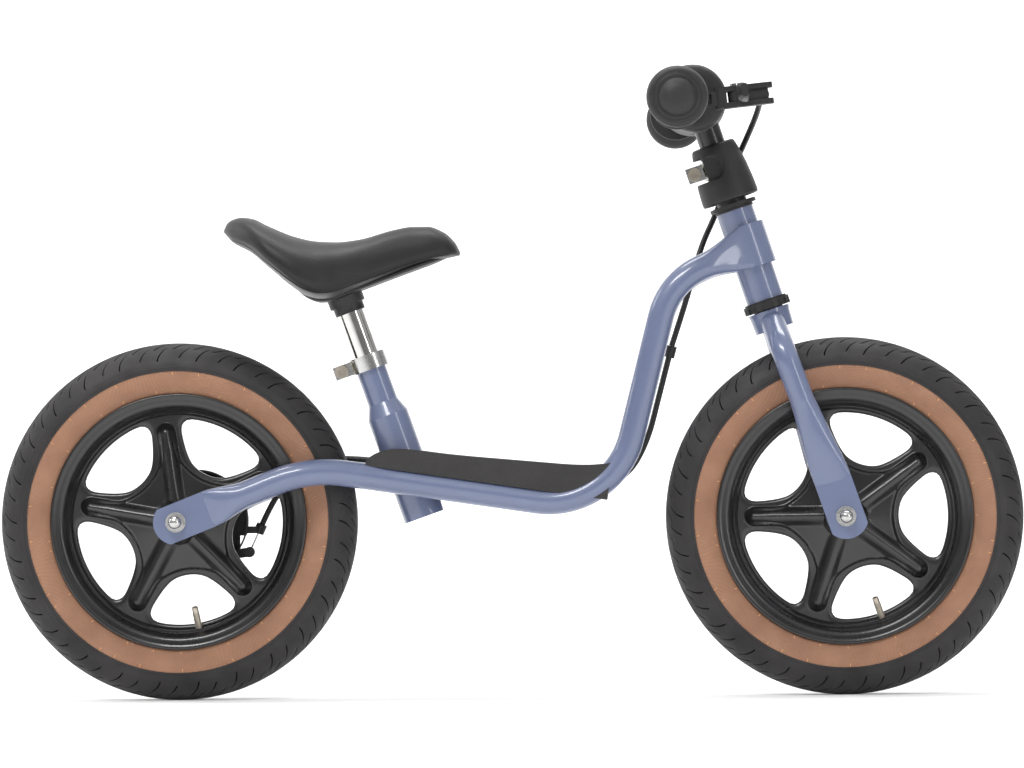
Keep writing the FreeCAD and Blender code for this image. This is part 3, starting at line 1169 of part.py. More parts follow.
for name, centre, spoke_angle, valve_angle in (("front", FRONT, FRONT_SPOKE_ANGLE, FRONT_VALVE_ANGLE),
                                               ("rear", REAR, REAR_SPOKE_ANGLE, REAR_VALVE_ANGLE)):
    save(name + "_tyre", tyre(centre))
    save(name + "_inner_tube", inner_tube(centre, valve_angle))
    save(name + "_rim", rim(centre, spoke_angle, valve_angle))
    save(name + "_bearings", bearings(centre))
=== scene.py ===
"""Looks of the balance bike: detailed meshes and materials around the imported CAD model."""
import bpy
import bmesh
import json
import math
import numpy as np
from mathutils import Matrix, Vector
from mathutils.geometry import delaunay_2d_cdt


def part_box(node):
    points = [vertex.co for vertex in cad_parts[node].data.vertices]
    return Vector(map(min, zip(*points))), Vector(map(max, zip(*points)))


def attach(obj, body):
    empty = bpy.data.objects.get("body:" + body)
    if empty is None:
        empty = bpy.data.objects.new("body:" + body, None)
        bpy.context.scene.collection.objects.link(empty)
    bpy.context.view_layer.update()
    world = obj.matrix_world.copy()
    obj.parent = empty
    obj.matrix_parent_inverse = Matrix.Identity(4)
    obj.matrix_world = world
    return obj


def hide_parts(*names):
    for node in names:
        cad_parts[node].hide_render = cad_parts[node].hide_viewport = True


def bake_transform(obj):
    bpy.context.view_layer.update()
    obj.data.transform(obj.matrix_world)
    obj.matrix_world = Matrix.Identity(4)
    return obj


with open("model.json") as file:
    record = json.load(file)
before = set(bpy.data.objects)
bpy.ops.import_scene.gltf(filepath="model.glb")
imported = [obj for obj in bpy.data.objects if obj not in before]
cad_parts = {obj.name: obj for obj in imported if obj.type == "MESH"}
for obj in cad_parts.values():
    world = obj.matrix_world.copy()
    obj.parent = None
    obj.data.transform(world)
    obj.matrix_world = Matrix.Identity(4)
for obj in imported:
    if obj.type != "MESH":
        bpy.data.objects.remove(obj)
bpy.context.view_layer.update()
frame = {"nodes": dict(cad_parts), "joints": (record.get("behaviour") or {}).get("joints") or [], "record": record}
nodes = frame["nodes"]
joints = {joint["name"]: joint for joint in frame["joints"]}
MM = 0.001
SIDE = Vector((0, 1, 0))


# ---------------------------------------------------------------- places read from the frame
def middle(node):
    low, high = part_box(node)
    return (low + high) / 2


FRONT = middle("front_axle")
REAR = middle("rear_axle")
TYRE_RADIUS = (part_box("front_tyre")[1].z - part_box("front_tyre")[0].z) / 2
TYRE_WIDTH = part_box("front_tyre")[1].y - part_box("front_tyre")[0].y
RIM_RADIUS = (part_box("front_rim")[1].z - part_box("front_rim")[0].z) / 2
UP = Vector(joints["steering"]["axis"])
FORE = SIDE.cross(UP)
STEER_FOOT = FRONT - FORE * 5 * MM
SADDLE_LOW, SADDLE_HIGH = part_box("saddle_cover")


def steer(s, n=0.0, y=0.0):
    """Point s mm up the steering axis, n mm ahead of it and y mm to the left."""
    return STEER_FOOT + (UP * s + FORE * n + SIDE * y) * MM


# ---------------------------------------------------------------- camera, light and floor
CAMERA_PLACE = Vector((0.1174, -5.400, 0.2257))
CAMERA_AIM = Vector((0.0012, 0, 0.2659))
CAMERA_LENS, CAMERA_SENSOR = 223.4, 36.0                # mm
CAMERA_ROLL = -0.535                                    # degrees


def camera():
    """Long lens square to the bike's right side."""
    data = bpy.data.cameras.new("camera")
    data.lens = CAMERA_LENS
    data.sensor_width = CAMERA_SENSOR
    data.clip_end = 40.0
    view = bpy.data.objects.new("camera", data)
    bpy.context.scene.collection.objects.link(view)
    view.location = CAMERA_PLACE
    aim = CAMERA_AIM - view.location
    turn = aim.to_track_quat("-Z", "Y").to_matrix()
    roll = Matrix.Rotation(math.radians(CAMERA_ROLL), 3, "Z")
    view.rotation_euler = (turn @ roll).to_euler()
    bpy.context.scene.camera = view


def area_light(name, place, aim, size, power):
    data = bpy.data.lights.new(name, "AREA")
    data.shape = "RECTANGLE"
    data.size, data.size_y = size
    data.energy = power
    lamp = bpy.data.objects.new(name, data)
    bpy.context.scene.collection.objects.link(lamp)
    lamp.location = place
    lamp.rotation_euler = (Vector(aim) - Vector(place)).to_track_quat("-Z", "Y").to_euler()


def studio():
    """Sky that brightens with height, four area lights, and a pale floor that bends up behind the bike, with a
    painted glow: faint near the bike and stronger further back.
    """
    world = bpy.data.worlds.new("studio")
    bpy.context.scene.world = world
    world.use_nodes = True
    tree = world.node_tree
    background = tree.nodes["Background"]
    background.inputs["Color"].default_value = (1.0, 1.0, 1.0, 1)
    way = tree.nodes.new("ShaderNodeSeparateXYZ")
    tree.links.new(tree.nodes.new("ShaderNodeTexCoord").outputs["Generated"], way.inputs[0])
    height = tree.nodes.new("ShaderNodeMapRange")
    height.interpolation_type = "SMOOTHSTEP"
    for socket, value in {"From Min": 0.12, "From Max": 0.62, "To Min": 0.22, "To Max": 0.80}.items():
        height.inputs[socket].default_value = value
    tree.links.new(way.outputs["Z"], height.inputs["Value"])
    tree.links.new(height.outputs[0], background.inputs["Strength"])
    bpy.context.scene.view_settings.view_transform = "Standard"
    area_light("key", (-0.9, -2.2, 2.5), (0, 0, 0.25), (1.6, 0.5), 46)
    area_light("fill", (2.3, -2.2, 0.9), (0.1, 0, 0.3), (0.35, 1.8), 14)
    area_light("rim", (-2.4, 0.6, 1.2), (0, 0, 0.3), (0.5, 1.6), 16)
    area_light("top", (0.0, 0.4, 2.6), (0, 0, 0.2), (2.2, 0.6), 38)
    mesh = bpy.data.meshes.new("floor")
    reach, back, height, bend = 9.0, 9.0, 7.0, 1.2
    outline = [(-reach, 0.0), (back - bend, 0.0)]
    bend_steps = 12
    for k in range(1, bend_steps + 1):
        turn = math.radians(90 * k / bend_steps)
        outline.append((back - bend + bend * math.sin(turn), bend - bend * math.cos(turn)))
    outline.append((back, height))
    points = [(x, y, z) for y, z in outline for x in (-reach, reach)]
    faces = [(2 * k, 2 * k + 1, 2 * k + 3, 2 * k + 2) for k in range(len(outline) - 1)]
    mesh.from_pydata(points, [], faces)
    mesh.shade_smooth()
    floor = bpy.data.objects.new("floor", mesh)
    bpy.context.scene.collection.objects.link(floor)
    pale = Surface("floor_pale", (0.92, 0.92, 0.92), 0.8, Emission_Color=(1, 1, 1, 1))
    apart = pale.tree.nodes.new("ShaderNodeSeparateXYZ")
    pale.tree.links.new(pale.where, apart.inputs[0])
    # Painted glow: the floor emits light, faintly near the bike and more strongly further back, so the backdrop
    # reads bright without a lamp on it.
    pale.join(pale.spread(apart.outputs["Y"], 0.10, 0.62, 0.5, 3.0), "Emission Strength")
    pale.grain(scale=60, depth=0.0002)
    mesh.materials.append(pale.material)


# ---------------------------------------------------------------- materials
def srgb(red, green, blue):
    """Linear colour from screen values of 0 to 255."""
    def linear(value):
        share = value / 255
        return share / 12.92 if share <= 0.04045 else ((share + 0.055) / 1.055) ** 2.4
    return (linear(red), linear(green), linear(blue))


class Surface:
    """A node material. Textures are laid out in metres in the piece's own coordinates."""

    def __init__(self, name, colour, roughness, metallic=0.0, **constants):
        self.material = bpy.data.materials.new(name)
        self.material.use_nodes = True
        self.tree = self.material.node_tree
        self.shader = self.tree.nodes["Principled BSDF"]
        self.shader.inputs["Base Color"].default_value = (*colour, 1)
        self.shader.inputs["Roughness"].default_value = roughness
        self.shader.inputs["Metallic"].default_value = metallic
        for socket, value in constants.items():
            self.shader.inputs[socket.replace("_", " ")].default_value = value
        self.colour = colour
        self.where = self.tree.nodes.new("ShaderNodeTexCoord").outputs["Object"]
        self.bump_end = None

    def node(self, kind, inputs=(), output=0, **settings):
        made = self.tree.nodes.new(kind)
        for key, value in settings.items():
            setattr(made, key, value)
        for key, value in dict(inputs).items():
            if isinstance(value, bpy.types.NodeSocket):
                self.tree.links.new(value, made.inputs[key])
            else:
                made.inputs[key].default_value = value
        return made.outputs[output]

    def join(self, output, socket):
        self.tree.links.new(output, self.shader.inputs[socket])

    def noise(self, scale, detail=4.0, stretch=None):
        where = self.where
        if stretch:
            where = self.node("ShaderNodeMapping", {"Vector": where, "Scale": stretch})
        return self.node("ShaderNodeTexNoise", {"Vector": where, "Scale": scale, "Detail": detail})

    def cells(self, scale, feature="F1"):
        return self.node("ShaderNodeTexVoronoi", {"Vector": self.where, "Scale": scale}, feature=feature)

    def math(self, operation, a, b=0.0):
        return self.node("ShaderNodeMath", {0: a, 1: b}, operation=operation)

    def spread(self, value, low, high, start=0.3, end=0.7):
        """value's range from start to end, stretched to low to high."""
        return self.node("ShaderNodeMapRange", {"Value": value, "From Min": start, "From Max": end,
                                                "To Min": low, "To Max": high})

    def mix(self, share, a, b):
        return self.node("ShaderNodeMix", {0: share, 6: (*a, 1) if isinstance(a, tuple) else a,
                                           7: (*b, 1) if isinstance(b, tuple) else b},
                         output=2, data_type="RGBA")

    def tint(self, share, other):
        """The base colour turns to another where share is high."""
        socket = self.shader.inputs["Base Color"]
        before = socket.links[0].from_socket if socket.links else self.colour
        self.join(self.mix(share, before, other), "Base Color")

    def bump(self, height, depth, strength=1.0):
        inputs = {"Height": height, "Distance": depth, "Strength": strength}
        if self.bump_end:
            inputs["Normal"] = self.bump_end
        self.bump_end = self.node("ShaderNodeBump", inputs)
        self.join(self.bump_end, "Normal")

    def grain(self, scale, depth, detail=4.0):
        self.bump(self.noise(scale, detail), depth)

    def worn(self, low, high, scale=14.0):
        """Patchy roughness, as from handling and dust."""
        self.join(self.spread(self.noise(scale, 6.0), low, high), "Roughness")


def lacquer(name, colour, darker, lighter, coat=0.75):
    """Stove enamel: slow colour drift, orange peel under a clear coat, faint pale specks of dust."""
    made = Surface(name, colour, 0.34, Coat_Weight=coat, Coat_Roughness=0.09, IOR=1.5)
    made.tint(made.spread(made.noise(9.0, 3.0), 0.0, 0.55), darker)
    made.tint(made.spread(made.noise(900.0, 2.0), 0.0, 0.22, 0.45, 0.75), lighter)
    made.worn(0.28, 0.42, 22.0)
    made.grain(260.0, 0.00008, 1.0)
    made.grain(1500.0, 0.00001, 2.0)
    return made.material


def plated(name, colour, low, high, grain_depth, stretch=(1.0, 1.0, 1.0)):
    """Bright plated steel with drawing marks and cloudy spots."""
    made = Surface(name, colour, low, metallic=1.0)
    made.worn(low, high, 55.0)
    made.tint(made.spread(made.noise(130.0, 5.0), 0.0, 0.35, 0.45, 0.8), tuple(0.62 * c for c in colour))
    made.bump(made.noise(420.0, 3.0, stretch), grain_depth, 0.6)
    return made.material


def moulded(name, colour, low, high, grain_scale, grain_depth, pale, sheen=0.0, coat=0.0):
    """Moulded plastic or rubber: fine texture from the tool, flow marks and scuffed patches."""
    made = Surface(name, colour, low, Coat_Weight=coat, Coat_Roughness=0.25, Sheen_Weight=sheen,
                   Sheen_Roughness=0.6, IOR=1.48)
    made.worn(low, high, 18.0)
    made.tint(made.spread(made.noise(35.0, 7.0), 0.0, 0.5, 0.5, 0.85), pale)
    made.bump(made.cells(grain_scale), grain_depth, 0.7)
    made.grain(grain_scale * 0.37, grain_depth * 1.4, 3.0)
    return made.material


def sandy(name):
    """Footboard: matt moulded plastic with a coarse anti-slip grit."""
    made = Surface(name, srgb(43, 41, 41), 0.62, IOR=1.48)
    made.worn(0.5, 0.75, 30.0)
    made.tint(made.spread(made.noise(60.0, 8.0), 0.0, 0.7, 0.45, 0.8), srgb(54, 52, 52))
    made.bump(made.cells(900.0), 0.00035, 0.9)
    made.grain(2600.0, 0.00012, 3.0)
    return made.material


def vinyl(name):
    """Black upholstery vinyl with a pebbled leather grain."""
    made = Surface(name, srgb(24, 23, 24), 0.42, Sheen_Weight=0.08, Sheen_Roughness=0.45,
                   Coat_Weight=0.05, Coat_Roughness=0.3, IOR=1.42)
    made.worn(0.38, 0.54, 16.0)
    pebble = made.cells(1150.0)
    made.bump(pebble, 0.00016, 0.75)
    made.grain(420.0, 0.00012, 5.0)
    made.tint(made.spread(pebble, 0.0, 0.5, 0.35, 0.75), srgb(15, 14, 15))
    return made.material


TAN_WIDTH = 18.9 * MM                                   # from the rim's edge to the tread
CORDS_PER_RADIAN, CORD_SLANT = 620.0, 2100.0


def tyre_rubber(name):
    """Tan sidewalls with the casing's cords showing, black tread. The piece's origin is on its axle."""
    made = Surface(name, srgb(34, 32, 34), 0.6, IOR=1.5)
    parts = made.tree.nodes.new("ShaderNodeSeparateXYZ")
    made.tree.links.new(made.where, parts.inputs[0])
    x, z = parts.outputs["X"], parts.outputs["Z"]
    radius = made.math("SQRT", made.math("ADD", made.math("MULTIPLY", x, x), made.math("MULTIPLY", z, z)))
    angle = made.math("ARCTAN2", z, x)
    tan_share = made.math("LESS_THAN", radius, RIM_RADIUS + TAN_WIDTH)
    slant = made.math("MULTIPLY", radius, CORD_SLANT)
    around = made.math("MULTIPLY", angle, CORDS_PER_RADIAN)
    cords = made.math("SINE", made.math("ADD", around, slant))
    cross = made.math("SINE", made.math("SUBTRACT", around, slant))
    tan = made.mix(made.spread(made.noise(38.0, 6.0), 0.0, 1.0), srgb(176, 132, 104), srgb(156, 114, 89))
    tan = made.mix(made.spread(cords, 0.0, 0.55, -0.4, 1.0), tan, srgb(116, 80, 62))
    black = made.mix(made.spread(made.noise(26.0, 7.0), 0.0, 0.8), srgb(26, 24, 25), srgb(44, 41, 42))
    made.join(made.mix(tan_share, black, tan), "Base Color")
    made.join(made.spread(made.noise(45.0, 5.0), 0.5, 0.74), "Roughness")
    weave = made.math("MULTIPLY", made.math("ADD", cords, made.math("MULTIPLY", cross, 0.35)), tan_share)
    made.bump(weave, 0.00016, 0.9)
    made.grain(1400.0, 0.00005, 4.0)
    return made.material


def wheel_plastic(name):
    """Glass-filled nylon: satin black with fine moulding texture and light speckle."""
    made = Surface(name, srgb(19, 18, 19), 0.32, Coat_Weight=0.45, Coat_Roughness=0.16, IOR=1.5)
    made.worn(0.24, 0.40, 24.0)
    speckle = made.spread(made.noise(1900.0, 2.0), 0.0, 0.6, 0.68, 0.8)
    made.tint(speckle, srgb(78, 74, 70))
    made.tint(made.spread(made.noise(16.0, 5.0), 0.0, 0.4, 0.45, 0.75), srgb(30, 28, 28))
    made.grain(1700.0, 0.00005, 3.0)
    made.grain(150.0, 0.00012, 2.0)
    return made.material


BLUE = srgb(102, 112, 142)
FINISHES = {
    "frame_paint": lacquer("slate_blue_enamel", BLUE, srgb(93, 103, 133), srgb(114, 123, 152)),
    "black_paint": lacquer("satin_black_enamel", srgb(26, 25, 27), srgb(20, 20, 21), srgb(40, 39, 41), 0.3),
    "zinc": plated("bright_zinc", (0.56, 0.56, 0.55), 0.16, 0.30, 0.00004),
    "chrome": plated("bright_chrome", (0.66, 0.65, 0.63), 0.06, 0.16, 0.00002, (1.0, 1.0, 0.06)),
    "black_metal": moulded("blackened_steel", srgb(24, 24, 25), 0.30, 0.5, 1500.0, 0.00005,
                           srgb(58, 58, 58)),
    "black_plastic": moulded("black_moulding", srgb(28, 27, 28), 0.40, 0.58, 1300.0, 0.00010,
                             srgb(46, 44, 45)),
    "grip_rubber": moulded("grip_rubber", srgb(27, 25, 26), 0.42, 0.60, 1700.0, 0.00008,
                           srgb(46, 43, 44), 0.06),
    "rim_plastic": wheel_plastic("wheel_nylon"),
    "tyre": tyre_rubber("tan_wall_tyre"),
    "tube_rubber": moulded("tube_rubber", srgb(30, 30, 31), 0.6, 0.75, 900.0, 0.00008, srgb(52, 50, 50)),
    "saddle_vinyl": vinyl("saddle_vinyl"),
    "cable_casing": moulded("cable_casing", srgb(26, 26, 27), 0.32, 0.5, 2200.0, 0.00004, srgb(44, 43, 43)),
}
GRIT = sandy("footboard_grit")
NICKEL = plated("warm_nickel", (0.50, 0.45, 0.38), 0.24, 0.40, 0.00004)
TAN_NIB = moulded("tan_rubber", srgb(214, 160, 112), 0.5, 0.66, 1700.0, 0.00004, srgb(196, 140, 100))


def finish_nodes():
    """Every CAD node gets the finish of its own slot, and six of them then get one of their own."""
    for part in frame["record"]["subparts"]:
        for slot in nodes[part["node"]].material_slots:
            slot.material = FINISHES[part["material_slot"]]
    steel = FINISHES["black_metal"]
    own = {"footboard": GRIT, "fork_steerer": steel, "brake_arm": steel, "brake_cable_stop": steel,
           "stem_clamp_bolt": NICKEL, "seat_clamp_bolt": NICKEL}
    for name, finish in own.items():
        for slot in nodes[name].material_slots:
            slot.material = finish


# ---------------------------------------------------------------- mesh helpers
def piece(name, points, faces, finish, body, origin=(0, 0, 0), replaced=(), sharp=40.0):
    """New mesh piece, with its points given from its own origin, in metres."""
    mesh = bpy.data.meshes.new(name)
    mesh.from_pydata([tuple(p) for p in points], [], faces)
    mesh.validate()
    mesh.shade_smooth()
    mesh.set_sharp_from_angle(angle=math.radians(sharp))
    mesh.materials.append(finish)
    made = bpy.data.objects.new(name, mesh)
    bpy.context.scene.collection.objects.link(made)
    made.location = origin
    if body:
        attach(made, body)
    if replaced:
        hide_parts(*replaced)
    return made


def grid_faces(rows, columns, close_rows=False, close_columns=False):
    """Four-sided faces over points that lie row by row."""
    faces = []
    for i in range(rows if close_rows else rows - 1):
        for j in range(columns if close_columns else columns - 1):
            a = i * columns + j
            b = i * columns + (j + 1) % columns
            c = ((i + 1) % rows) * columns + (j + 1) % columns
            d = ((i + 1) % rows) * columns + j
            faces.append((a, b, c, d))
    return faces


def turned(profile, start, axis, count=96):
    """Closed body of revolution; profile holds (radius, height) pairs in mm from end to end."""
    axis = axis.normalized()
    u = axis.orthogonal().normalized()
    w = axis.cross(u)
    points = []
    for radius, height in profile:
        for k in range(count):
            turn = 2 * math.pi * k / count
            points.append(start + (axis * height + (u * math.cos(turn) + w * math.sin(turn)) * radius) * MM)
    faces = grid_faces(len(profile), count, close_columns=True)
    for end, order in ((0, -1), (len(profile) - 1, 1)):
        ring = [end * count + k for k in range(count)]
        faces.append(tuple(ring[::order]))
    return points, faces


def smooth_curve(table, share):
    """Smooth reading of a (share, value) table, without overshoot between its points."""
    xs = np.array([row[0] for row in table])
    ys = np.array([row[1] for row in table])
    slope = np.diff(ys) / np.diff(xs)
    tangent = np.zeros(len(xs))
    tangent[1:-1] = np.where(slope[:-1] * slope[1:] > 0, 2 / (1 / np.where(slope[:-1] == 0, 1, slope[:-1])
                             + 1 / np.where(slope[1:] == 0, 1, slope[1:])), 0)
    tangent[0], tangent[-1] = slope[0], slope[-1]
    i = np.clip(np.searchsorted(xs, share) - 1, 0, len(xs) - 2)
    h = xs[i + 1] - xs[i]
    t = (share - xs[i]) / h
    return ((2 * t**3 - 3 * t**2 + 1) * ys[i] + (t**3 - 2 * t**2 + t) * h * tangent[i]
            + (-2 * t**3 + 3 * t**2) * ys[i + 1] + (t**3 - t**2) * h * tangent[i + 1])


def step_up(value, start, end):
    """0 before start, 1 after end, smooth between."""
    t = np.clip((value - start) / (end - start), 0, 1)
    return t * t * (3 - 2 * t)


# ---------------------------------------------------------------- tyres
SIPE_PAIRS = 26
CASING = TYRE_WIDTH / 2 / MM
SECTION_MIDDLE = TYRE_RADIUS / MM - CASING
BEAD_RADIUS = RIM_RADIUS / MM - 5.8
TYRE_WALL = 3.2
LONG_SIPE, SHORT_SIPE = 0.0, 0.458                      # places within one pair, as shares of its pitch
DASHES = (0.27, 0.80)
DIMPLE = 0.68
LONG_DEPTH, SHORT_DEPTH, DASH_DEPTH = 2.2, 2.0, 1.6
BLOCK_SLOPE = 0.55                                      # each block's drop from one end to the other
SIPE_LEAN = 13.0 / 145.0                                # radians
SIPE_STEPS = (0.0, 0.022, 0.05, 0.075, 0.16, 0.245, 0.27, 0.295, 0.36, 0.41, 0.436, 0.458, 0.480, 0.51, 0.56,
              0.68, 0.775, 0.80, 0.825, 0.90, 0.95, 0.978)


def tyre_surface():
    """Points (radius, across, angle) in mm and radians, by rows over the section and columns round the wheel.

    Columns lean towards the crown, so that each curved sipe runs along its own columns."""
    low = -math.degrees(math.asin((SECTION_MIDDLE - RIM_RADIUS / MM + 0.3) / CASING))
    side = [low, -38, -30, -22, -14, -7, -1.5, 1.2, 1.9, 4.5, 7.6, 8.2, 8.9, 9.5, 12, 15, 18, 21, 23.5, 25]
    half = side + list(np.linspace(27, 90, 25))
    rows = [(angle, -1.0) for angle in half] + [(angle, 1.0) for angle in half[-2::-1]]
    points = []
    pitch = 2 * math.pi / SIPE_PAIRS
    for angle, sign in rows:
        psi = math.radians(angle)
        lean = SIPE_LEAN * max(0.0, (angle - 22.0) / 45.0) ** 1.7
        sipe = step_up(angle, 22.5, 26.0) * (1 - step_up(angle, 56.0, 61.0))
        dash = step_up(angle, 52.0, 56.0) * (1 - step_up(angle, 80.0, 84.0))
        short = step_up(angle, 30.0, 33.0) * (1 - step_up(angle, 58.0, 62.0))
        block = step_up(angle, 20.0, 30.0) * (1 - step_up(angle, 66.0, 80.0))
        for pair in range(SIPE_PAIRS):
            for step in SIPE_STEPS:
                out = -0.55 if angle < 1.6 else 0.0
                out -= 0.3 * (8.0 < angle < 9.2)
                out -= LONG_DEPTH * sipe * (step == LONG_SIPE) + SHORT_DEPTH * short * (step == SHORT_SIPE)
                out -= DASH_DEPTH * dash * (step in DASHES)
                if step < SHORT_SIPE:
                    rise = step / SHORT_SIPE
                else:
                    rise = (step - SHORT_SIPE) / (1 - SHORT_SIPE)
                out += BLOCK_SLOPE * (rise - 1.0) * block
                out -= 0.5 * (angle == 15 and step == DIMPLE)
                radius = SECTION_MIDDLE + (CASING + out) * math.sin(psi)
                across = sign * (CASING + out) * math.cos(psi)
                points.append((radius, across, (pair + step) * pitch - lean))
    return rows, SIPE_PAIRS * len(SIPE_STEPS), points


def tyre(name, centre, body):
    """Hollow tyre, closed from its outside round both beads to its inside."""
    rows, columns, outer = tyre_surface()
    inner_r = CASING - TYRE_WALL
    inside = [(BEAD_RADIUS, 16.8), (BEAD_RADIUS, 13.8)]
    for angle in range(-35, 216, 25):
        turn = math.radians(angle)
        inside.append((SECTION_MIDDLE + inner_r * math.sin(turn), inner_r * math.cos(turn)))
    inside += [(BEAD_RADIUS, -13.8), (BEAD_RADIUS, -16.8)]
    angles = [row[2] for row in outer[-columns:]]
    points = outer + [(radius, across, turn) for radius, across in inside for turn in angles]
    places = [(r * math.cos(t) * MM, y * MM, r * math.sin(t) * MM) for r, y, t in points]
    faces = grid_faces(len(rows) + len(inside), columns, close_rows=True, close_columns=True)
    return piece(name, places, faces, FINISHES["tyre"], body, centre, (), 50)


def tyre_nibs(name, centre, body):
    """Small vent threads left by the mould along the bead and the tan wall's outer edge."""
    points, faces = [], []
    spin = np.random.default_rng(7)
    for ring, (radius, count) in enumerate(((RIM_RADIUS / MM + 1.4, 22), (RIM_RADIUS / MM + 16.0, 24))):
        for k in range(count):
            for sign in (-1, 1):
                turn = 2 * math.pi * (k + 0.5 * ring) / count + 0.1 * spin.standard_normal()
                out = Vector((math.cos(turn), 0, math.sin(turn)))
                rise = math.asin((radius - SECTION_MIDDLE) / CASING)
                across = sign * (CASING - 0.8) * math.cos(rise)
                start = out * (radius * MM) + SIDE * (across * MM)
                tip = (out * (0.9 + 0.4 * ring) + SIDE * (0.55 * sign)
                       + SIDE.cross(out) * 0.3 * spin.standard_normal())
                some, around = turned([(0.42, 0), (0.38, 1.6), (0.26, 2.6), (0.1, 2.9)], start, tip, 8)
                faces += [tuple(len(points) + i for i in face) for face in around]
                points += some
    return piece(name, points, faces, TAN_NIB, body, centre, ())


# ---------------------------------------------------------------- wheels
SPOKES = 5
WEB_EDGE = RIM_RADIUS / MM - 16.3
WINDOW_OUT = RIM_RADIUS / MM - 21.3
WINDOW_MIDDLE = 69.0
RIB_REACH = 76.5
ARM_HALF, ARM_FLARE, FLARE_FROM, FLARE_REACH = 12.3, 11.7, 37.2, 13.0
STRIP_HALF, STAR_RISE = 4.4, 3.4                        # web at a window's edge, and its star over that
HUB_HALF, HUB_SWELL, HUB_SPREAD = 21.6, 6.0, 34.0
RIB_TOP, RIB_FALL, RIB_HALF_WIDTH = 19.0, 6.0, 8.9
EDGE_ROUNDING = 3.0
AXLE_HOLE = 9.3
ROW_STEP = 0.866                                        # rows of an equal-sided triangle grid
RIB_TRACKS = (0.0, 1.5, 3.0, 4.2, 5.2, 6.1, 6.9, 7.6, 8.2, 8.7, 9.3, 10.2)


def arm_half_width(along):
    """The web's arm widens towards the hub."""
    return ARM_HALF + ARM_FLARE * math.exp(-(along - FLARE_FROM) / FLARE_REACH)


def soft_max(a, b, reach):
    """The larger of two values, rounded where they are within reach of each other."""
    h = max(reach - abs(a - b), 0.0) / reach
    return max(a, b) + h * h * reach / 4


def window_gap(x, z, bisector):
    """Negative inside the window whose middle direction is bisector, in mm."""
    radius = math.hypot(x, z)
    sides = []
    for turn in (-math.pi / SPOKES, math.pi / SPOKES):
        ux, uz = math.cos(bisector + turn), math.sin(bisector + turn)
        along = x * ux + z * uz
        across = abs(x * uz - z * ux)
        sides.append(arm_half_width(along) - across)
    return soft_max(radius - WINDOW_OUT, soft_max(sides[0], sides[1], 12.0), 13.0)


def window_outline(bisector, inset, count=72):
    """Points round the window, inset mm outside its edge."""
    cx, cz = WINDOW_MIDDLE * math.cos(bisector), WINDOW_MIDDLE * math.sin(bisector)
    ring = []
    for k in range(count):
        turn = 2 * math.pi * k / count
        low, high = 1.0, 45.0
        for _ in range(26):
            reach = (low + high) / 2
            if window_gap(cx + reach * math.cos(turn), cz + reach * math.sin(turn), bisector) < inset:
                low = reach
            else:
                high = reach
        ring.append((cx + low * math.cos(turn), cz + low * math.sin(turn)))
    return ring


def near_rib(x, z, angle):
    """Distance along the nearest rib's line, and distance off the rib's rounded track."""
    turn = angle + 2 * math.pi / SPOKES * round((math.atan2(z, x) - angle) / (2 * math.pi / SPOKES))
    ux, uz = math.cos(turn), math.sin(turn)
    along = x * ux + z * uz
    return along, math.hypot(x * uz - z * ux, max(0.0, along - RIB_REACH))


def nearest_gap(x, z, angle):
    """window_gap for the window nearest to a point."""
    pitch = 2 * math.pi / SPOKES
    nearest = round((math.atan2(z, x) - angle) / pitch - 0.5) + 0.5
    return window_gap(x, z, angle + nearest * pitch)


def web_height(x, z, angle):
    """Half thickness of the web at a point, in mm: edge strip, raised star, five round ribs and hub."""
    radius = math.hypot(x, z)
    along, off = near_rib(x, z, angle)
    star = STAR_RISE * float(step_up(nearest_gap(x, z, angle), 6.0, 10.0))
    star *= 1 - float(step_up(radius, 60.0, 74.0))
    base = STRIP_HALF + HUB_SWELL * math.exp(-(radius / HUB_SPREAD) ** 2) + star
    top = RIB_TOP - RIB_FALL * min(along, RIB_REACH) / RIB_REACH
    share = min(off / RIB_HALF_WIDTH, 1.0)
    crown = (0.5 + 0.5 * math.cos(math.pi * share)) ** 0.72
    height = base + (top - base) * crown
    hub = HUB_HALF * (1 - float(step_up(radius, 15.5, 23.5)))
    return max(height, hub)


def circle(radius, count):
    return [(radius * math.cos(2 * math.pi * i / count), radius * math.sin(2 * math.pi * i / count))
            for i in range(count)]


def wheel_web(angle):
    """One face of the web as points and triangles, and its rings of edge points."""
    insets = (0.0, 0.25, 0.8, 1.7, EDGE_ROUNDING)
    rings, flat, edges = [], [], []
    for k in range(SPOKES):
        bisector = angle + 2 * math.pi * (k + 0.5) / SPOKES
        for inset in insets:
            ring = window_outline(bisector, inset)
            first = len(flat)
            flat += ring
            count = len(ring)
            rings.append((first, count, inset))
            edges += [(first + i, first + (i + 1) % count) for i in range(count)]
    for radius, count in ((WEB_EDGE, 240), (AXLE_HOLE, 48)):
        first = len(flat)
        flat += circle(radius, count)
        rings.append((first, count, None))
        edges += [(first + i, first + (i + 1) % count) for i in range(count)]
    for radius in (12.5, 14.8, 15.6, 16.4, 17.2, 18.0, 18.8, 19.6):
        flat += circle(radius, 96)
    for k in range(SPOKES):
        turn = angle + 2 * math.pi * k / SPOKES
        ux, uz = math.cos(turn), math.sin(turn)
        for track in RIB_TRACKS:
            sides = (-1, 1) if track else (0,)
            local = [(21.5 + 1.5 * i, side * track) for i in range(37) for side in sides]
            if track:
                local += [(RIB_REACH + track * math.cos(math.radians(q)), track * math.sin(math.radians(q)))
                          for q in range(-90, 91, 12)]
            flat += [(u * ux - w * uz, u * uz + w * ux) for u, w in local]
    pitch = 1.45
    for row in range(-75, 76):
        for column in range(-75, 76):
            x = (column + 0.5 * (row % 2)) * pitch
            z = row * pitch * ROW_STEP
            radius = math.hypot(x, z)
            between = 20.6 < radius < WEB_EDGE - 1.0 and near_rib(x, z, angle)[1] > 11.0
            if between and nearest_gap(x, z, angle) > 3.9:
                flat.append((x, z))
    made = delaunay_2d_cdt([Vector(p) for p in flat], edges, [], 0, 1e-6)
    return rings, made


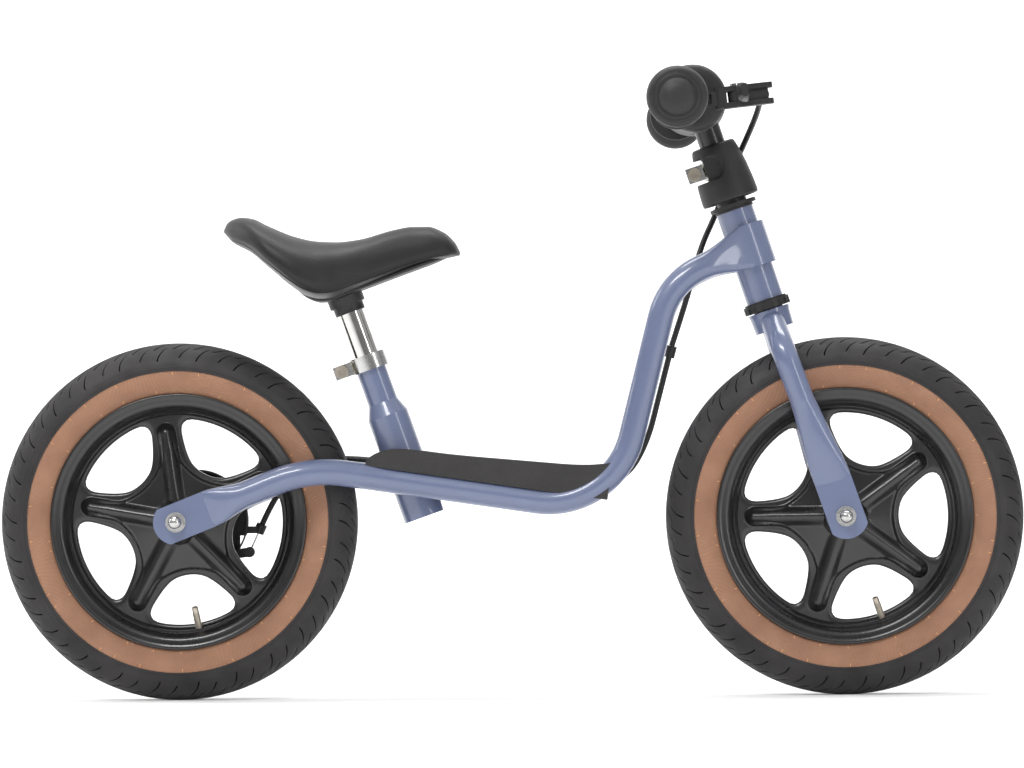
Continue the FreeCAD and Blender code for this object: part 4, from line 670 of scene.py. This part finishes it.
def web_piece(name, centre, body, angle):
    """The whole web: both faces, with rounded window edges, and the walls between them."""
    rings, (spots, _, triangles, sources, _, _) = wheel_web(angle)
    limits = {}
    for first, count, inset in rings:
        if inset is not None:
            for i in range(first, first + count):
                limits[i] = inset
    heights = []
    for spot, source in zip(spots, sources):
        height = web_height(spot.x, spot.y, angle)
        inset = limits.get(source[0]) if source else None
        if inset is not None:
            height -= EDGE_ROUNDING - math.sqrt(max(0.0, EDGE_ROUNDING ** 2 - (EDGE_ROUNDING - inset) ** 2))
        heights.append(height)
    faces = []
    for a, b, c in triangles:
        x = (spots[a].x + spots[b].x + spots[c].x) / 3
        z = (spots[a].y + spots[b].y + spots[c].y) / 3
        radius = math.hypot(x, z)
        inside = nearest_gap(x, z, angle) < -0.02
        if AXLE_HOLE - 0.1 < radius < WEB_EDGE + 0.1 and not inside:
            faces.append((a, b, c))
    count = len(spots)
    points = [(p.x * MM, -h * MM, p.y * MM) for p, h in zip(spots, heights)]
    points += [(p.x * MM, h * MM, p.y * MM) for p, h in zip(spots, heights)]
    edges = {(a, b): None for face in faces for a, b in zip(face, face[1:] + face[:1])}
    walls = [(b, a, a + count, b + count) for a, b in edges if (b, a) not in edges]
    faces = faces + [tuple(i + count for i in face[::-1]) for face in faces] + walls
    made = piece(name, points, faces, FINISHES["rim_plastic"], body, centre, (), 50)
    loose = bmesh.new()
    loose.from_mesh(made.data)
    bmesh.ops.delete(loose, geom=[v for v in loose.verts if not v.link_faces], context="VERTS")
    bmesh.ops.recalc_face_normals(loose, faces=loose.faces)
    loose.to_mesh(made.data)
    loose.free()
    return made


def rim_hoop(name, centre, body):
    """The channel that holds the tyre, with a rolled lip, a stepped side and a fine raised ring."""
    r = RIM_RADIUS / MM
    side = [(r - 5.8, 16.9), (r - 0.6, 17.0), (r, 17.8), (r, 19.0), (r - 0.5, 19.7), (r - 1.4, 20.0),
            (r - 2.8, 19.8), (r - 3.8, 19.2), (r - 4.6, 18.9), (r - 6.2, 18.9), (r - 8.2, 18.6),
            (r - 10.2, 17.6), (r - 11.6, 15.8), (r - 12.6, 13.6), (r - 13.6, 11.6), (r - 14.4, 10.7),
            (r - 14.9, 10.9), (r - 15.5, 11.1), (r - 16.0, 10.6), (r - 16.2, 9.4), (r - 16.6, 7.0),
            (r - 17.4, 5.2), (r - 19.2, 3.4)]
    profile = [(radius, -y) for radius, y in side] + [(radius, y) for radius, y in side[::-1]]
    count = 240
    points = [(q * math.cos(2 * math.pi * k / count) * MM, y * MM, q * math.sin(2 * math.pi * k / count) * MM)
              for q, y in profile for k in range(count)]
    faces = grid_faces(len(profile), count, close_rows=True, close_columns=True)
    return piece(name, points, faces, FINISHES["rim_plastic"], body, centre, (), 55)


def valve(name, centre, body, angle):
    """Threaded valve stem with its rubber foot, leaning to the right."""
    turn = math.radians(angle)
    out = Vector((math.cos(turn), 0, math.sin(turn)))
    foot_depth, tip_depth = 9.8, 34.8
    seat = centre + (out * (RIM_RADIUS / MM - foot_depth) + SIDE * -3.0) * MM
    tip = centre + (out * (RIM_RADIUS / MM - tip_depth) + SIDE * -11.5) * MM
    axis = tip - seat
    length = axis.length / MM
    profile = [(2.75, 0.5)]
    at = 1.0
    while at < length - 5.0:
        profile += [(2.72, at), (3.0, at + 0.35), (2.72, at + 0.7)]
        at += 0.8
    profile += [(2.72, length - 4.6), (2.70, length + 0.1), (2.4, length + 0.5), (1.3, length + 0.5),
                (1.2, length - 2.0)]
    points, faces = turned(profile, seat, axis, 32)
    piece(name + "_valve_stem", points, faces, NICKEL, body, (0, 0, 0), (), 60)
    foot = [(4.2, 0.0), (5.4, 0.3), (5.6, 1.4), (5.2, 2.6), (4.4, 3.1), (4.4, 4.6), (3.9, 5.2), (2.8, 5.4)]
    points, faces = turned(foot, seat, axis, 48)
    rubber = FINISHES["tube_rubber"]
    piece(name + "_valve_foot", points, faces, rubber, body, (0, 0, 0), (), 50)


def wheel(name, centre, spoke_angle, valve_angle):
    body = name + "_wheel"
    tread = tyre(name + "_tyre_tread", centre, body)
    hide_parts(name + "_tyre")
    tyre_nibs(name + "_tyre_nibs", centre, body)
    web = web_piece(name + "_wheel_web", centre, body, math.radians(spoke_angle))
    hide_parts(name + "_rim")
    rim_hoop(name + "_wheel_hoop", centre, body)
    valve(name, centre, body, valve_angle)


# ---------------------------------------------------------------- saddle
SADDLE_LENGTH = (SADDLE_HIGH.x - SADDLE_LOW.x) / MM
SADDLE_HALF = (SADDLE_HIGH.y - SADDLE_LOW.y) / 2 / MM
SADDLE_RISE = 21.5                                      # top of the tail over the dip
SADDLE_ZERO = SADDLE_HIGH.z / MM - SADDLE_RISE
SADDLE_END = 0.6                                        # room left at each end
TOP_LINE = ((0.0, 11.5), (0.015, 17.0), (0.04, 20.0), (0.075, SADDLE_RISE), (0.12, 20.5), (0.19, 14.0),
            (0.31, 4.3), (0.40, 0.6), (0.48, 0.0), (0.57, 1.8), (0.72, 9.6), (0.80, 12.2), (0.865, 12.2),
            (0.935, 7.0), (0.98, -1.5), (1.0, -9.0))
LOW_LINE = ((0.0, 8.5), (0.04, 0.0), (0.115, -8.3), (0.19, -21.0), (0.30, -39.5), (0.355, -46.5),
            (0.41, -49.5), (0.45, -49.0), (0.57, -40.5), (0.79, -24.5), (0.90, -17.0), (1.0, -12.5))
HALF_WIDTHS = ((0.0, 0.10), (0.015, 0.25), (0.04, 0.42), (0.115, 0.74), (0.20, 0.94), (0.30, 1.0),
               (0.40, 0.93), (0.50, 0.76), (0.62, 0.60), (0.75, 0.50), (0.88, 0.45), (0.95, 0.37),
               (0.985, 0.24), (1.0, 0.10))


def saddle_x(share):
    """Place along the saddle in mm, for a share of its length from the tail."""
    return SADDLE_LOW.x / MM + SADDLE_END + (SADDLE_LENGTH - 2 * SADDLE_END) * share


def saddle_point(share, turn):
    """Point on the cover's section; turn runs from the left edge over the top and back below."""
    top = float(smooth_curve(TOP_LINE, share))
    low = float(smooth_curve(LOW_LINE, share))
    half = float(smooth_curve(HALF_WIDTHS, share)) * (SADDLE_HALF - 0.5)
    edge = low + 0.30 * (top - low)
    c, s = math.cos(turn), math.sin(turn)
    across = half * math.copysign(abs(c) ** (2 / 2.7), c)
    if s >= 0:
        height = edge + (top - edge) * s ** (2 / 2.25)
        dip = 1.6 * math.exp(-(across / 9.0) ** 2) * math.exp(-((share - 0.33) / 0.22) ** 2)
        height -= dip * s
    else:
        across *= 1 - 0.10 * abs(s)
        height = edge - (edge - low) * abs(s) ** (2 / 3.4)
    return Vector((saddle_x(share), across, SADDLE_ZERO + height)) * MM


def saddle():
    """Vinyl-covered foam with a crowned top and soft sides, and a bead along each lower edge."""
    rows, columns = 121, 96
    points = []
    for i in range(rows):
        share = 0.5 - 0.5 * math.cos(math.pi * i / (rows - 1))
        points += [saddle_point(share, 2 * math.pi * j / columns) for j in range(columns)]
    faces = grid_faces(rows, columns, close_columns=True)
    faces.append(tuple(range(columns))[::-1])
    faces.append(tuple(range((rows - 1) * columns, rows * columns)))
    cover = piece("saddle_vinyl_cover", points, faces, FINISHES["saddle_vinyl"], "saddle", (0, 0, 0),
                  ("saddle_cover",), 60)
    steps, sides = 90, 8
    for edge, name in ((-28, "left"), (208, "right")):
        bead = []
        for k in range(steps):
            share = 0.5 - 0.462 * math.cos(math.pi * k / (steps - 1))
            spot = saddle_point(share, math.radians(edge))
            radius = 0.8 * math.sin(math.pi * (k + 0.5) / steps) ** 0.3
            for j in range(sides):
                turn = 2 * math.pi * j / sides
                bead.append(spot + Vector((0, math.cos(turn), math.sin(turn))) * radius * MM)
        around = grid_faces(steps, sides, close_columns=True)
        around += [tuple(range(sides)), tuple(range((steps - 1) * sides, steps * sides))[::-1]]
        piece("saddle_bead_" + name, bead, around, FINISHES["black_plastic"], "saddle", (0, 0, 0), (),
              60)


COLLAR_RADIUS = 13.0


def saddle_underside():
    """Moulded base: a shallow tray that follows the cover's lower line, and the post's collar."""
    rows, columns = 60, 24
    points = []
    for i in range(rows):
        share = 0.30 + 0.655 * i / (rows - 1)
        low = float(smooth_curve(LOW_LINE, share))
        half = min(24.0, 0.78 * float(smooth_curve(HALF_WIDTHS, share)) * SADDLE_HALF)
        fade = math.sin(math.pi * min(max(i / 8, 0.15), 1, max((rows - 1 - i) / 8, 0.15)) / 2)
        for j in range(columns):
            turn = 2 * math.pi * j / columns
            c, d = math.cos(turn), math.sin(turn)
            across = half * fade * math.copysign(abs(c) ** 0.5, c)
            rise = 2.6 * fade * math.copysign(abs(d) ** 0.6, d)
            points.append(Vector((saddle_x(share), across, SADDLE_ZERO + low + 0.6 + rise)) * MM)
    faces = grid_faces(rows, columns, close_columns=True)
    faces += [tuple(range(columns))[::-1], tuple(range((rows - 1) * columns, rows * columns))]
    piece("saddle_base_tray", points, faces, FINISHES["black_plastic"], "saddle", (0, 0, 0), ("saddle_base",),
          60)
    rise = Vector(joints["saddle_height"]["axis"]).normalized()
    rise = rise if rise.z > 0 else -rise
    post = middle("seat_post")
    tilt = COLLAR_RADIUS * MM * math.sqrt(1 - rise.z ** 2)
    foot = post + rise * ((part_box("saddle_base")[0].z + tilt - post.z) / rise.z)
    collar = [(11.3, 0.0), (12.5, 0.0), (COLLAR_RADIUS, 0.5), (COLLAR_RADIUS, 6.3), (13.5, 7.0),
              (14.9, 7.0), (15.4, 7.6), (15.4, 30.0), (11.3, 30.0)]
    points, faces = turned(collar, foot, rise, 96)
    piece("saddle_base_collar", points, faces, FINISHES["black_plastic"], "saddle", (0, 0, 0), (),
          40)


# ---------------------------------------------------------------- handlebar pad, by cloth simulation
CLOTH_FRAMES = 20


def remeshed_copy(node, name, voxel, shrink):
    """Even mesh over a CAD node's own shape, drawn in towards its middle."""
    made = bpy.data.objects.new(name, nodes[node].data.copy())
    bpy.context.scene.collection.objects.link(made)
    centre = middle(node)
    for vertex in made.data.vertices:
        vertex.co = centre + (vertex.co - centre) * shrink
    remesh = made.modifiers.new("remesh", "REMESH")
    remesh.mode = "VOXEL"
    remesh.voxel_size = voxel
    apply_modifiers(made)
    return made


def apply_modifiers(made):
    """The mesh as its modifiers leave it takes the place of the object's own."""
    graph = bpy.context.evaluated_depsgraph_get()
    mesh = bpy.data.meshes.new_from_object(made.evaluated_get(graph))
    old = made.data
    made.modifiers.clear()
    made.data = mesh
    bpy.data.meshes.remove(old)


def inflate(made, pressure, cap):
    """Short cloth run with no gravity, then no point further than cap from where it was."""
    before = [v.co.copy() for v in made.data.vertices]
    cloth = made.modifiers.new("cloth", "CLOTH")
    settings = cloth.settings
    settings.quality = 5
    settings.mass = 0.3
    settings.use_pressure = True
    settings.uniform_pressure_force = pressure
    settings.effector_weights.gravity = 0.0
    cloth.point_cache.frame_start, cloth.point_cache.frame_end = 1, CLOTH_FRAMES
    for step in range(1, CLOTH_FRAMES + 1):
        bpy.context.scene.frame_set(step)
    apply_modifiers(made)
    bpy.context.scene.frame_set(1)
    for vertex, start in zip(made.data.vertices, before):
        move = vertex.co - start
        if move.length > cap:
            vertex.co = start + move.normalized() * cap


def handlebar_pad():
    """Soft pad over the bar's middle, slightly blown up."""
    pad = remeshed_copy("handlebar_pad", "handlebar_pad_cover", voxel=0.0035, shrink=0.965)
    inflate(pad, pressure=4.0, cap=0.004)
    smooth = pad.modifiers.new("smooth", "SMOOTH")
    smooth.iterations = 4
    rounder = pad.modifiers.new("subdivide", "SUBSURF")
    rounder.levels = rounder.render_levels = 1
    apply_modifiers(pad)
    pad.data.materials.clear()
    pad.data.materials.append(FINISHES["grip_rubber"])
    pad.data.shade_smooth()
    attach(pad, "handlebar")
    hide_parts("handlebar_pad")


# ---------------------------------------------------------------- grips
GRIP_INNER_END = 97.0                                   # from the bike's middle
RING_PITCH = 3.6


def grip(name, node, sign):
    """Rubber grip with rings along its middle and a domed safety knob with fine grooves."""
    low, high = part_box(node)
    centre = middle(node)
    end = (high.y if sign > 0 else -low.y) / MM
    start = Vector((centre.x, sign * end * MM, centre.z))
    knob = (high.z - low.z) / 2 / MM
    profile = [(0.05, 0.0), (3.5, 0.12), (7.0, 0.6), (10.0, 1.5), (12.6, 2.9), (14.4, 4.4), (15.3, 5.6),
               (15.8, 6.3), (16.5, 6.4), (17.2, 5.9), (18.0, 5.8), (18.8, 6.2), (19.3, 7.0), (20.0, 7.2),
               (20.8, 6.7), (21.8, 6.8), (22.9, 7.4), (23.9, 8.5), (24.7, 9.8), (knob - 0.3, 11.4),
               (knob, 13.2), (knob - 0.2, 15.0), (knob - 1.2, 17.0), (knob - 3.4, 19.2),
               (knob - 6.4, 21.2), (16.6, 23.4), (15.5, 26.0)]
    tail = end - GRIP_INNER_END
    at = 29.0
    while at < tail - 12.0:
        profile += [(15.3, at), (15.3, at + 0.9), (15.9, at + 1.3), (16.0, at + 2.4), (15.9, at + 2.9)]
        at += RING_PITCH
    profile += [(15.4, tail - 10.0), (15.5, tail - 7.0), (18.5, tail - 4.4), (knob - 4.0, tail - 3.6),
                (knob - 3.1, tail - 2.4), (knob - 3.0, tail - 0.9), (knob - 3.6, tail), (11.2, tail)]
    points, faces = turned(profile, start, SIDE * -sign, 128)
    return piece(name, points, faces, FINISHES["grip_rubber"], "handlebar", (0, 0, 0), (node,),
                 42)


# ---------------------------------------------------------------- moulded cover over the stem clamp
COVER_STATION = (middle("stem_clamp") - STEER_FOOT).dot(UP) / MM
COVER_FOOT, COVER_TOP = COVER_STATION - 30.8, COVER_STATION + 18.5


def solid(name, points, faces):
    """Closed body whose faces all look outwards."""
    mesh = bpy.data.meshes.new(name)
    mesh.from_pydata([tuple(p) for p in points], [], faces)
    made = bpy.data.objects.new(name, mesh)
    bpy.context.scene.collection.objects.link(made)
    tidy = bmesh.new()
    tidy.from_mesh(mesh)
    bmesh.ops.recalc_face_normals(tidy, faces=tidy.faces)
    tidy.to_mesh(mesh)
    tidy.free()
    return made


def prism(name, outline, y0, y1):
    """Straight block between two heights across the bike; the outline holds (up, ahead) pairs in mm."""
    count = len(outline)
    points = [steer(s, n, y) for y in (y0, y1) for s, n in outline]
    faces = [tuple(range(count)), tuple(range(count, 2 * count))[::-1]]
    faces += [(k, k + count, (k + 1) % count + count, (k + 1) % count) for k in range(count)]
    return solid(name, points, faces)


def clamp_cover():
    """Cover with a rounded pocket on each side round the clamp's ears, and soft moulded edges."""
    outside = [(17.7, COVER_TOP), (18.9, COVER_TOP - 1.5), (20.4, COVER_TOP - 8), (22.6, COVER_TOP - 20),
               (24.0, COVER_TOP - 34), (24.5, COVER_FOOT + 5), (24.4, COVER_FOOT + 1.2), (23.6, COVER_FOOT)]
    inside = [(21.9, COVER_FOOT), (21.6, COVER_STATION - 16), (16.3, COVER_STATION - 12.5),
              (16.3, COVER_STATION + 10), (12.2, COVER_TOP - 4), (12.2, COVER_TOP)]
    profile = outside + inside
    count = 128
    points = [steer(s, r * math.cos(2 * math.pi * k / count), r * math.sin(2 * math.pi * k / count))
              for r, s in profile for k in range(count)]
    body = solid("stem_clamp_cover", points, grid_faces(len(profile), count, True, True))
    s0, s1, tip, bend, out = COVER_STATION - 10.5, COVER_STATION + 10.0, 2.5, 8.0, 60.0
    pocket = [(s0, -out)]
    pocket += [(s0 + bend - bend * math.cos(math.radians(q)), tip - bend + bend * math.sin(math.radians(q)))
               for q in range(0, 91, 10)]
    pocket += [(s1 - bend + bend * math.sin(math.radians(q)), tip - bend + bend * math.cos(math.radians(q)))
               for q in range(0, 91, 10)]
    pocket += [(s1, -out)]
    mouth = [(s0, -out), (s0, -13.0), (s1, -13.0), (s1, -out)]
    floor = 17.6
    cutters = [prism("pocket_right", pocket, -out, -floor), prism("pocket_left", pocket, floor, out),
               prism("mouth", mouth, -out, out)]
    for cutter in cutters:
        cut = body.modifiers.new(cutter.name, "BOOLEAN")
        cut.operation, cut.solver, cut.object = "DIFFERENCE", "EXACT", cutter
    remesh = body.modifiers.new("remesh", "REMESH")
    remesh.mode, remesh.voxel_size = "VOXEL", 0.00055
    soften = body.modifiers.new("soften", "SMOOTH")
    soften.iterations, soften.factor = 6, 0.5
    apply_modifiers(body)
    for cutter in cutters:
        bpy.data.objects.remove(cutter)
    body.data.materials.clear()
    body.data.materials.append(FINISHES["black_plastic"])
    body.data.shade_smooth()
    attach(body, "fork")
    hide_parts("clamp_cover")


# ---------------------------------------------------------------- brake cable, in three pieces
BAR_AXIS = Vector((middle("grip_right").x, 0, middle("grip_right").z))
LEVER_TURN = math.radians(6.0)
CASING_OD = 5 * MM


def lever(f, y, h=0.0):
    """Point f mm from the bar along the lever's bracket, y mm to the left and h mm above it."""
    fore = Vector((math.cos(LEVER_TURN), 0, math.sin(LEVER_TURN)))
    rise = Vector((-math.sin(LEVER_TURN), 0, math.cos(LEVER_TURN)))
    return BAR_AXIS + (fore * f + rise * h + SIDE * y) * MM


def cable_at(x, y, z):
    """Point x mm ahead of the rear axle, y mm to the left and z mm above the ground."""
    return Vector((REAR.x + x * MM, y * MM, z * MM))


ROUTE_BAR = [lever(72, -66), lever(72, -51), lever(67, -22, -13.5), cable_at(485.5, 3, 474),
             cable_at(476, 22, 454), cable_at(471.5, 26.75, 442.5)]
ROUTE_LOOP = [cable_at(471.5, 26.75, 442.5), cable_at(467, 31.5, 431), cable_at(457, 29, 406),
              cable_at(446.5, 16.5, 384), cable_at(439.5, 8, 360), cable_at(431, 5.5, 331),
              cable_at(419.7, 5.5, 297)]
ROUTE_FRAME = [cable_at(419.7, 5.5, 297), cable_at(408.4, 6, 254), cable_at(398.5, 7.5, 216),
               cable_at(381, 10.5, 186), cable_at(350, 14, 175.5), cable_at(305, 17.5, 180),
               cable_at(252, 21, 189.5), cable_at(205, 21.8, 196), cable_at(160, 22.5, 203),
               cable_at(128, 27, 204), cable_at(101, 29.5, 194), cable_at(80, 31.5, 174),
               cable_at(68, 34, 148)]


def cable(name, route, diameter, node, finish):
    """Round bar along a smooth line through the route's own control points."""
    data = bpy.data.curves.new(name, "CURVE")
    data.dimensions = "3D"
    data.bevel_depth = diameter / 2
    data.bevel_resolution = 4
    data.resolution_u = 16
    data.use_fill_caps = True
    line = data.splines.new("NURBS")
    line.points.add(len(route) - 1)
    for point, place in zip(line.points, route):
        point.co = (*place, 1)
    line.order_u = 3
    line.use_endpoint_u = True
    carrier = bpy.data.objects.new(name + "_line", data)
    bpy.context.scene.collection.objects.link(carrier)
    graph = bpy.context.evaluated_depsgraph_get()
    mesh = bpy.data.meshes.new_from_object(carrier.evaluated_get(graph))
    bpy.data.objects.remove(carrier)
    mesh.materials.clear()
    mesh.materials.append(finish)
    mesh.shade_smooth()
    made = bpy.data.objects.new(name, mesh)
    bpy.context.scene.collection.objects.link(made)
    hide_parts(node)
    return made


def cables():
    """One casing in three pieces: the two end pieces stay fixed where they are drawn, and the long one rides the
    frame.
    """
    casing = FINISHES["cable_casing"]
    bar = cable("brake_casing_bar", ROUTE_BAR, CASING_OD, "brake_cable_bar", casing)
    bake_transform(bar)
    loop = cable("brake_casing_loop", ROUTE_LOOP, CASING_OD, "brake_cable_loop", casing)
    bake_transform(loop)
    along = cable("brake_casing_frame", ROUTE_FRAME, CASING_OD, "brake_cable_frame", casing)
    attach(along, "frame")


# ---------------------------------------------------------------- the whole scene
camera()
studio()
finish_nodes()
wheel("front", FRONT, spoke_angle=36.0, valve_angle=-70.4)
wheel("rear", REAR, spoke_angle=26.0, valve_angle=-80.0)
saddle()
saddle_underside()
handlebar_pad()
grip("grip_right_rubber", "grip_right", -1)
grip("grip_left_rubber", "grip_left", 1)
clamp_cover()
cables()
